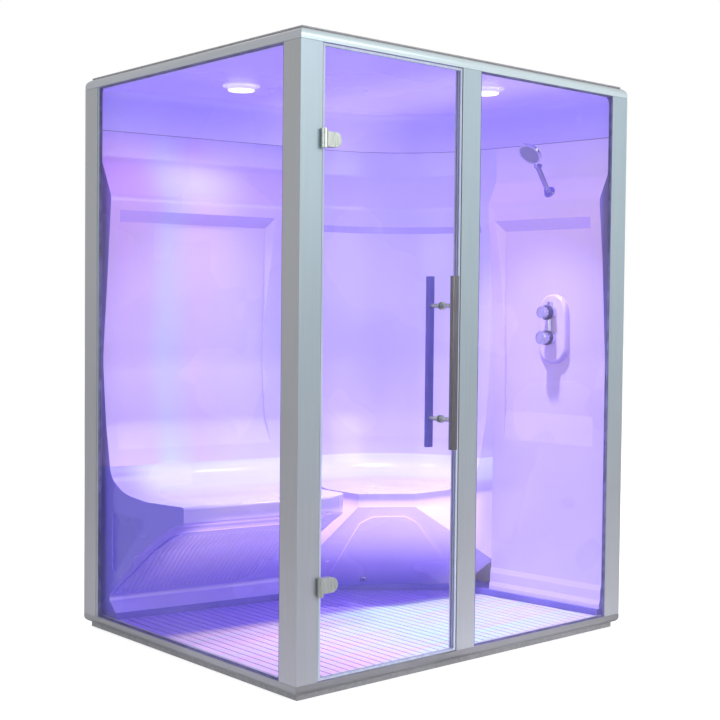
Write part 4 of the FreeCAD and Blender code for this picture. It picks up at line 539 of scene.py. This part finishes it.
# Painted light: pink, pale and cyan tints of the room's coloured light across and along the boards.
deck_colour_with_painted_light = ramp(tree, span(tree, x, -0.75, 0.7, smooth=False),
           [(0.0, shade(206, 178, 238)), (0.2, shade(212, 186, 240)),
            (0.38, shade(204, 200, 238)), (0.52, shade(184, 206, 232)),
            (0.8, shade(196, 200, 238)), (1.0, shade(204, 192, 242))])
painted_light_fringe = ramp(tree, cloud(tree, stretched(tree, where, (1.2, 26.0, 1.0)), 1.0, 1.0),
              [(0.3, shade(255, 226, 250)), (0.5, shade(246, 246, 255)),
               (0.7, shade(224, 255, 255))])
deck_colour_with_painted_light = blend_of(tree, 1.0, deck_colour_with_painted_light, painted_light_fringe, "MULTIPLY")
deck_colour_with_painted_light = blend_of(tree, bench_shadow_mask, deck_colour_with_painted_light, shade(150, 130, 236))
# Darker violet streaks along the boards.
streak_darkening = worked(tree, "MULTIPLY", span(tree, streaks, 0.3, 0.7), 0.12)
deck_colour_with_painted_light = blend_of(tree, streak_darkening, deck_colour_with_painted_light, shade(120, 104, 200))
tree.links.new(blend_of(tree, slat_gap_shade, deck_colour_with_painted_light, shade(52, 40, 140)), shader.inputs["Base Color"])
tree.links.new(span(tree, streaks, 0.3, 0.7, 0.36, 0.5), shader.inputs["Roughness"])
relief(tree, shader, streaks, 0.0001)
# Painted glow across the deck, dark in the bench's painted shadow and near black in the slat gaps.
across = ramp(tree, span(tree, x, -0.75, 0.7, smooth=False),
              [(0.0, shade(130, 110, 92)), (0.25, shade(136, 116, 96)),
               (0.5, shade(100, 112, 60)), (1.0, shade(96, 106, 70))])
across = blend_of(tree, bench_shadow_mask, across, shade(40, 20, 84))
tree.links.new(blend_of(tree, slat_gap_shade, across, shade(0, 0, 30)), shader.inputs["Emission Color"])
shader.inputs["Emission Strength"].default_value = 1.0
dress(deck_board, "floor_deck")

pipe_plastic, tree, shader = new_finish("pipe_plastic", shade(206, 206, 210), 0.5)
where, x, y, z = place_of(tree)
relief(tree, shader, cloud(tree, where, 120.0), 0.0002)
dress(pipe_plastic, "drain_body")
dress(satin_steel, "drain_grate")

# ---- ceiling lights ---------------------------------------------------------------------------
# Two round downlights: a pressed ring, a short drum and a frosted lens that glows, with the
# lamp housing hidden above the ceiling.
ring_metal_painted_glow, tree, shader = new_finish("ring_metal_painted_glow", shade(232, 226, 248), 0.22, 0.4)
where, x, y, z = place_of(tree)
spun = cloud(tree, stretched(tree, where, (20.0, 20.0, 900.0)), 1.0)
tree.links.new(span(tree, spun, 0.3, 0.7, 0.18, 0.3), shader.inputs["Roughness"])
# Painted glow: the ring gives off light though it is no lamp.
tree.links.new(blend_of(tree, span(tree, spun, 0.3, 0.7), shade(200, 190, 240),
                        shade(226, 220, 250)), shader.inputs["Emission Color"])
shader.inputs["Emission Strength"].default_value = 0.45
dress(ring_metal_painted_glow, "light_rings")

frosted_lens, tree, shader = new_finish("frosted_lens", shade(245, 243, 255), 0.5)
where, x, y, z = place_of(tree)
frost = cloud(tree, where, 300.0, 2.0)
tree.links.new(blend_of(tree, span(tree, frost, 0.3, 0.7), shade(246, 240, 255),
                        shade(255, 252, 255)), shader.inputs["Emission Color"])
shader.inputs["Emission Strength"].default_value = 1.0
relief(tree, shader, frost, 0.0002)
dress(frosted_lens, "light_lenses")

housing_metal, tree, shader = new_finish("housing_metal", shade(190, 190, 194), 0.4, 0.8)
where, x, y, z = place_of(tree)
relief(tree, shader, cloud(tree, where, 90.0), 0.0002)
dress(housing_metal, "light_housings")

# ---- steam outlet and pipes -------------------------------------------------------------------
# A small plated cover low on the corner bench, and the brass pipes that run unseen behind the
# walls to the mixer, the shower arm and the steam outlet.


def bright_plating(name, body, dark, light, smooth, hazy):
    """Polished plating with a faint haze between two shades and two roughnesses."""
    material, tree, shader = new_finish(name, body, (smooth + hazy) / 2, 1.0)
    where, x, y, z = place_of(tree)
    haze = cloud(tree, where, 45.0, 4.0)
    tree.links.new(blend_of(tree, span(tree, haze, 0.3, 0.7), dark, light),
                   shader.inputs["Base Color"])
    tree.links.new(span(tree, haze, 0.3, 0.7, smooth, hazy), shader.inputs["Roughness"])
    return material


plated = bright_plating("plated", shade(206, 204, 226), shade(198, 196, 222),
                        shade(214, 212, 232), 0.06, 0.13)
dress(plated, "steam_outlet")

pipe_brass, tree, shader = new_finish("pipe_brass", shade(196, 160, 96), 0.35, 1.0)
where, x, y, z = place_of(tree)
stain = cloud(tree, where, 30.0, 5.0)
tree.links.new(blend_of(tree, span(tree, stain, 0.3, 0.7), shade(176, 140, 82),
                        shade(206, 172, 108)), shader.inputs["Base Color"])
dress(pipe_brass, "steam_pipe", "supply_pipes")

# ---- shower valve -----------------------------------------------------------------------------
# Plated twin-port mixer on an oval boss: dark ribbed collars, two fluted knobs and a small
# stop button above the upper one.
dress(plated, "valve_body", "upper_knob", "lower_knob", "stop_button")
collar_dark, tree, shader = new_finish("collar_dark", shade(84, 76, 130), 0.3, 0.3)
where, x, y, z = place_of(tree)
tree.links.new(blend_of(tree, span(tree, cloud(tree, where, 80.0), 0.3, 0.7), shade(72, 64, 118),
                        shade(100, 90, 150)), shader.inputs["Base Color"])
dress(collar_dark, "valve_collars")

# ---- shower head ------------------------------------------------------------------------------
# A plated arm on a round flange carries the tilting head: a domed shell, a turning ring with
# a small lever, and a grey face with rings of soft nozzles.
# Painted reflection: arm, flange and lever are a darker violet copy of the plating, the room's
# light painted in.
plated_arm_painted_violet = bright_plating("plated_arm_painted_violet", shade(150, 138, 210), shade(140, 126, 200),
                            shade(160, 148, 218), 0.09, 0.17)
dress(plated_arm_painted_violet, "shower_arm", "shower_flange", "tilt_knob")
dress(plated, "shower_head", "spray_ring")
nozzle_face, tree, shader = new_finish("nozzle_face", shade(140, 130, 190), 0.4)
where, x, y, z = place_of(tree)
tree.links.new(blend_of(tree, span(tree, cloud(tree, where, 120.0), 0.3, 0.7), shade(128, 118, 182),
                        shade(160, 150, 210)), shader.inputs["Base Color"])
dress(nozzle_face, "shower_face")

# ---- rear covers ------------------------------------------------------------------------------
# White coated sheets close the back and the right side, fixed to upright battens, with holes
# for the water and steam connections.
cover_sheet, tree, shader = new_finish("cover_sheet", shade(206, 206, 210), 0.5)
where, x, y, z = place_of(tree)
peel = cloud(tree, where, 220.0, 2.0)
tree.links.new(blend_of(tree, span(tree, cloud(tree, where, 3.0), 0.3, 0.7), shade(200, 200, 205),
                        shade(212, 212, 216)), shader.inputs["Base Color"])
relief(tree, shader, peel, 0.0001)
dress(cover_sheet, "rear_panel", "side_panel", "panel_battens")

# ---- camera, backdrop and lights --------------------------------------------------------------
# The camera stands where the photograph was taken, level with the door handle. A pale floor
# lies under the cabin, large soft lamps light its front, left and back, and two small ones
# hang below the ceiling lights.
YAW = radians(48.83)
PITCH = radians(-1.976)
ROLL = radians(0.572)
STAND = (-3.3867, -3.8987, 1.2394)
FOCAL_LENGTH = 65.295
SENSOR_WIDTH = 36.0
FLOOR_REACH = 40.0
camera = bpy.data.objects.new("camera", bpy.data.cameras.new("camera"))
bpy.context.scene.collection.objects.link(camera)
bpy.context.scene.camera = camera
camera.data.lens = FOCAL_LENGTH
camera.data.sensor_width = SENSOR_WIDTH
ahead = Vector((cos(PITCH) * cos(YAW), cos(PITCH) * sin(YAW), sin(PITCH)))
level_right = ahead.cross(Vector((0, 0, 1))).normalized()
right = level_right * cos(ROLL) + level_right.cross(ahead) * sin(ROLL)
above = right.cross(ahead)
camera.matrix_world = Matrix.Translation(STAND) @ Matrix(
    (right, above, -ahead)).transposed().to_4x4()

floor_mesh = bpy.data.meshes.new("studio_floor")
floor_mesh.from_pydata([(FLOOR_REACH * side, FLOOR_REACH * depth, 0.0)
                        for side, depth in ((-1, -1), (1, -1), (1, 1), (-1, 1))],
                       [], [(0, 1, 2, 3)])
studio_floor = bpy.data.objects.new("studio_floor", floor_mesh)
bpy.context.scene.collection.objects.link(studio_floor)
pale_floor, tree, shader = new_finish("pale_floor", shade(242, 242, 243), 0.7)
rays = tree.nodes.new("ShaderNodeLightPath")
shader.inputs["Emission Color"].default_value = (1, 1, 1, 1)
tree.links.new(worked(tree, "MULTIPLY", rays.outputs["Is Camera Ray"], 0.72),
               shader.inputs["Emission Strength"])
floor_mesh.materials.append(pale_floor)

world = bpy.data.worlds.new("studio")
bpy.context.scene.world = world
world.use_nodes = True
sky = world.node_tree
rays = sky.nodes.new("ShaderNodeLightPath")
through = worked(sky, "MAXIMUM", rays.outputs["Is Glossy Ray"], rays.outputs["Is Transmission Ray"])
seen = worked(sky, "MAXIMUM", rays.outputs["Is Camera Ray"], through)
sky.nodes["Background"].inputs["Color"].default_value = (1, 1, 1, 1)
sky.links.new(span(sky, seen, 0.0, 1.0, 0.3, 1.0), sky.nodes["Background"].inputs["Strength"])

LAMP_SIZE = 3.0
BEAM_HEIGHT = 2.082
BEAM_ANGLE = radians(84)
BEAM_SOFTNESS = 0.04
BEAMS = (("lamp_bench", -0.428, 0.190, 60), ("lamp_shower", 0.287, -0.414, 150))


def soft_lamp(name, spot, target, power):
    """Square soft lamp aimed at a point."""
    lamp = bpy.data.lights.new(name, "AREA")
    lamp.size = LAMP_SIZE
    lamp.energy = power
    holder = bpy.data.objects.new(name, lamp)
    bpy.context.scene.collection.objects.link(holder)
    holder.location = spot
    holder.rotation_euler = (Vector(target) - Vector(spot)).to_track_quat("-Z", "Y").to_euler()
    holder.visible_camera = False


soft_lamp("lamp_front", (0.8, -5.2, 3.4), (0, -0.6, 1.1), 100)
soft_lamp("lamp_left", (-5.2, -0.8, 2.6), (-0.8, 0, 1.1), 42)
soft_lamp("lamp_rear", (3.6, 4.6, 4.6), (0.3, 0.2, 1.4), 150)
for name, x, y, power in BEAMS:
    beam = bpy.data.lights.new(name, "SPOT")
    beam.energy = power
    beam.spot_size = BEAM_ANGLE
    beam.spot_blend = 1.0
    beam.shadow_soft_size = BEAM_SOFTNESS
    holder = bpy.data.objects.new(name, beam)
    bpy.context.scene.collection.objects.link(holder)
    holder.location = (x, y, BEAM_HEIGHT)

bpy.context.scene.view_settings.view_transform = "Standard"
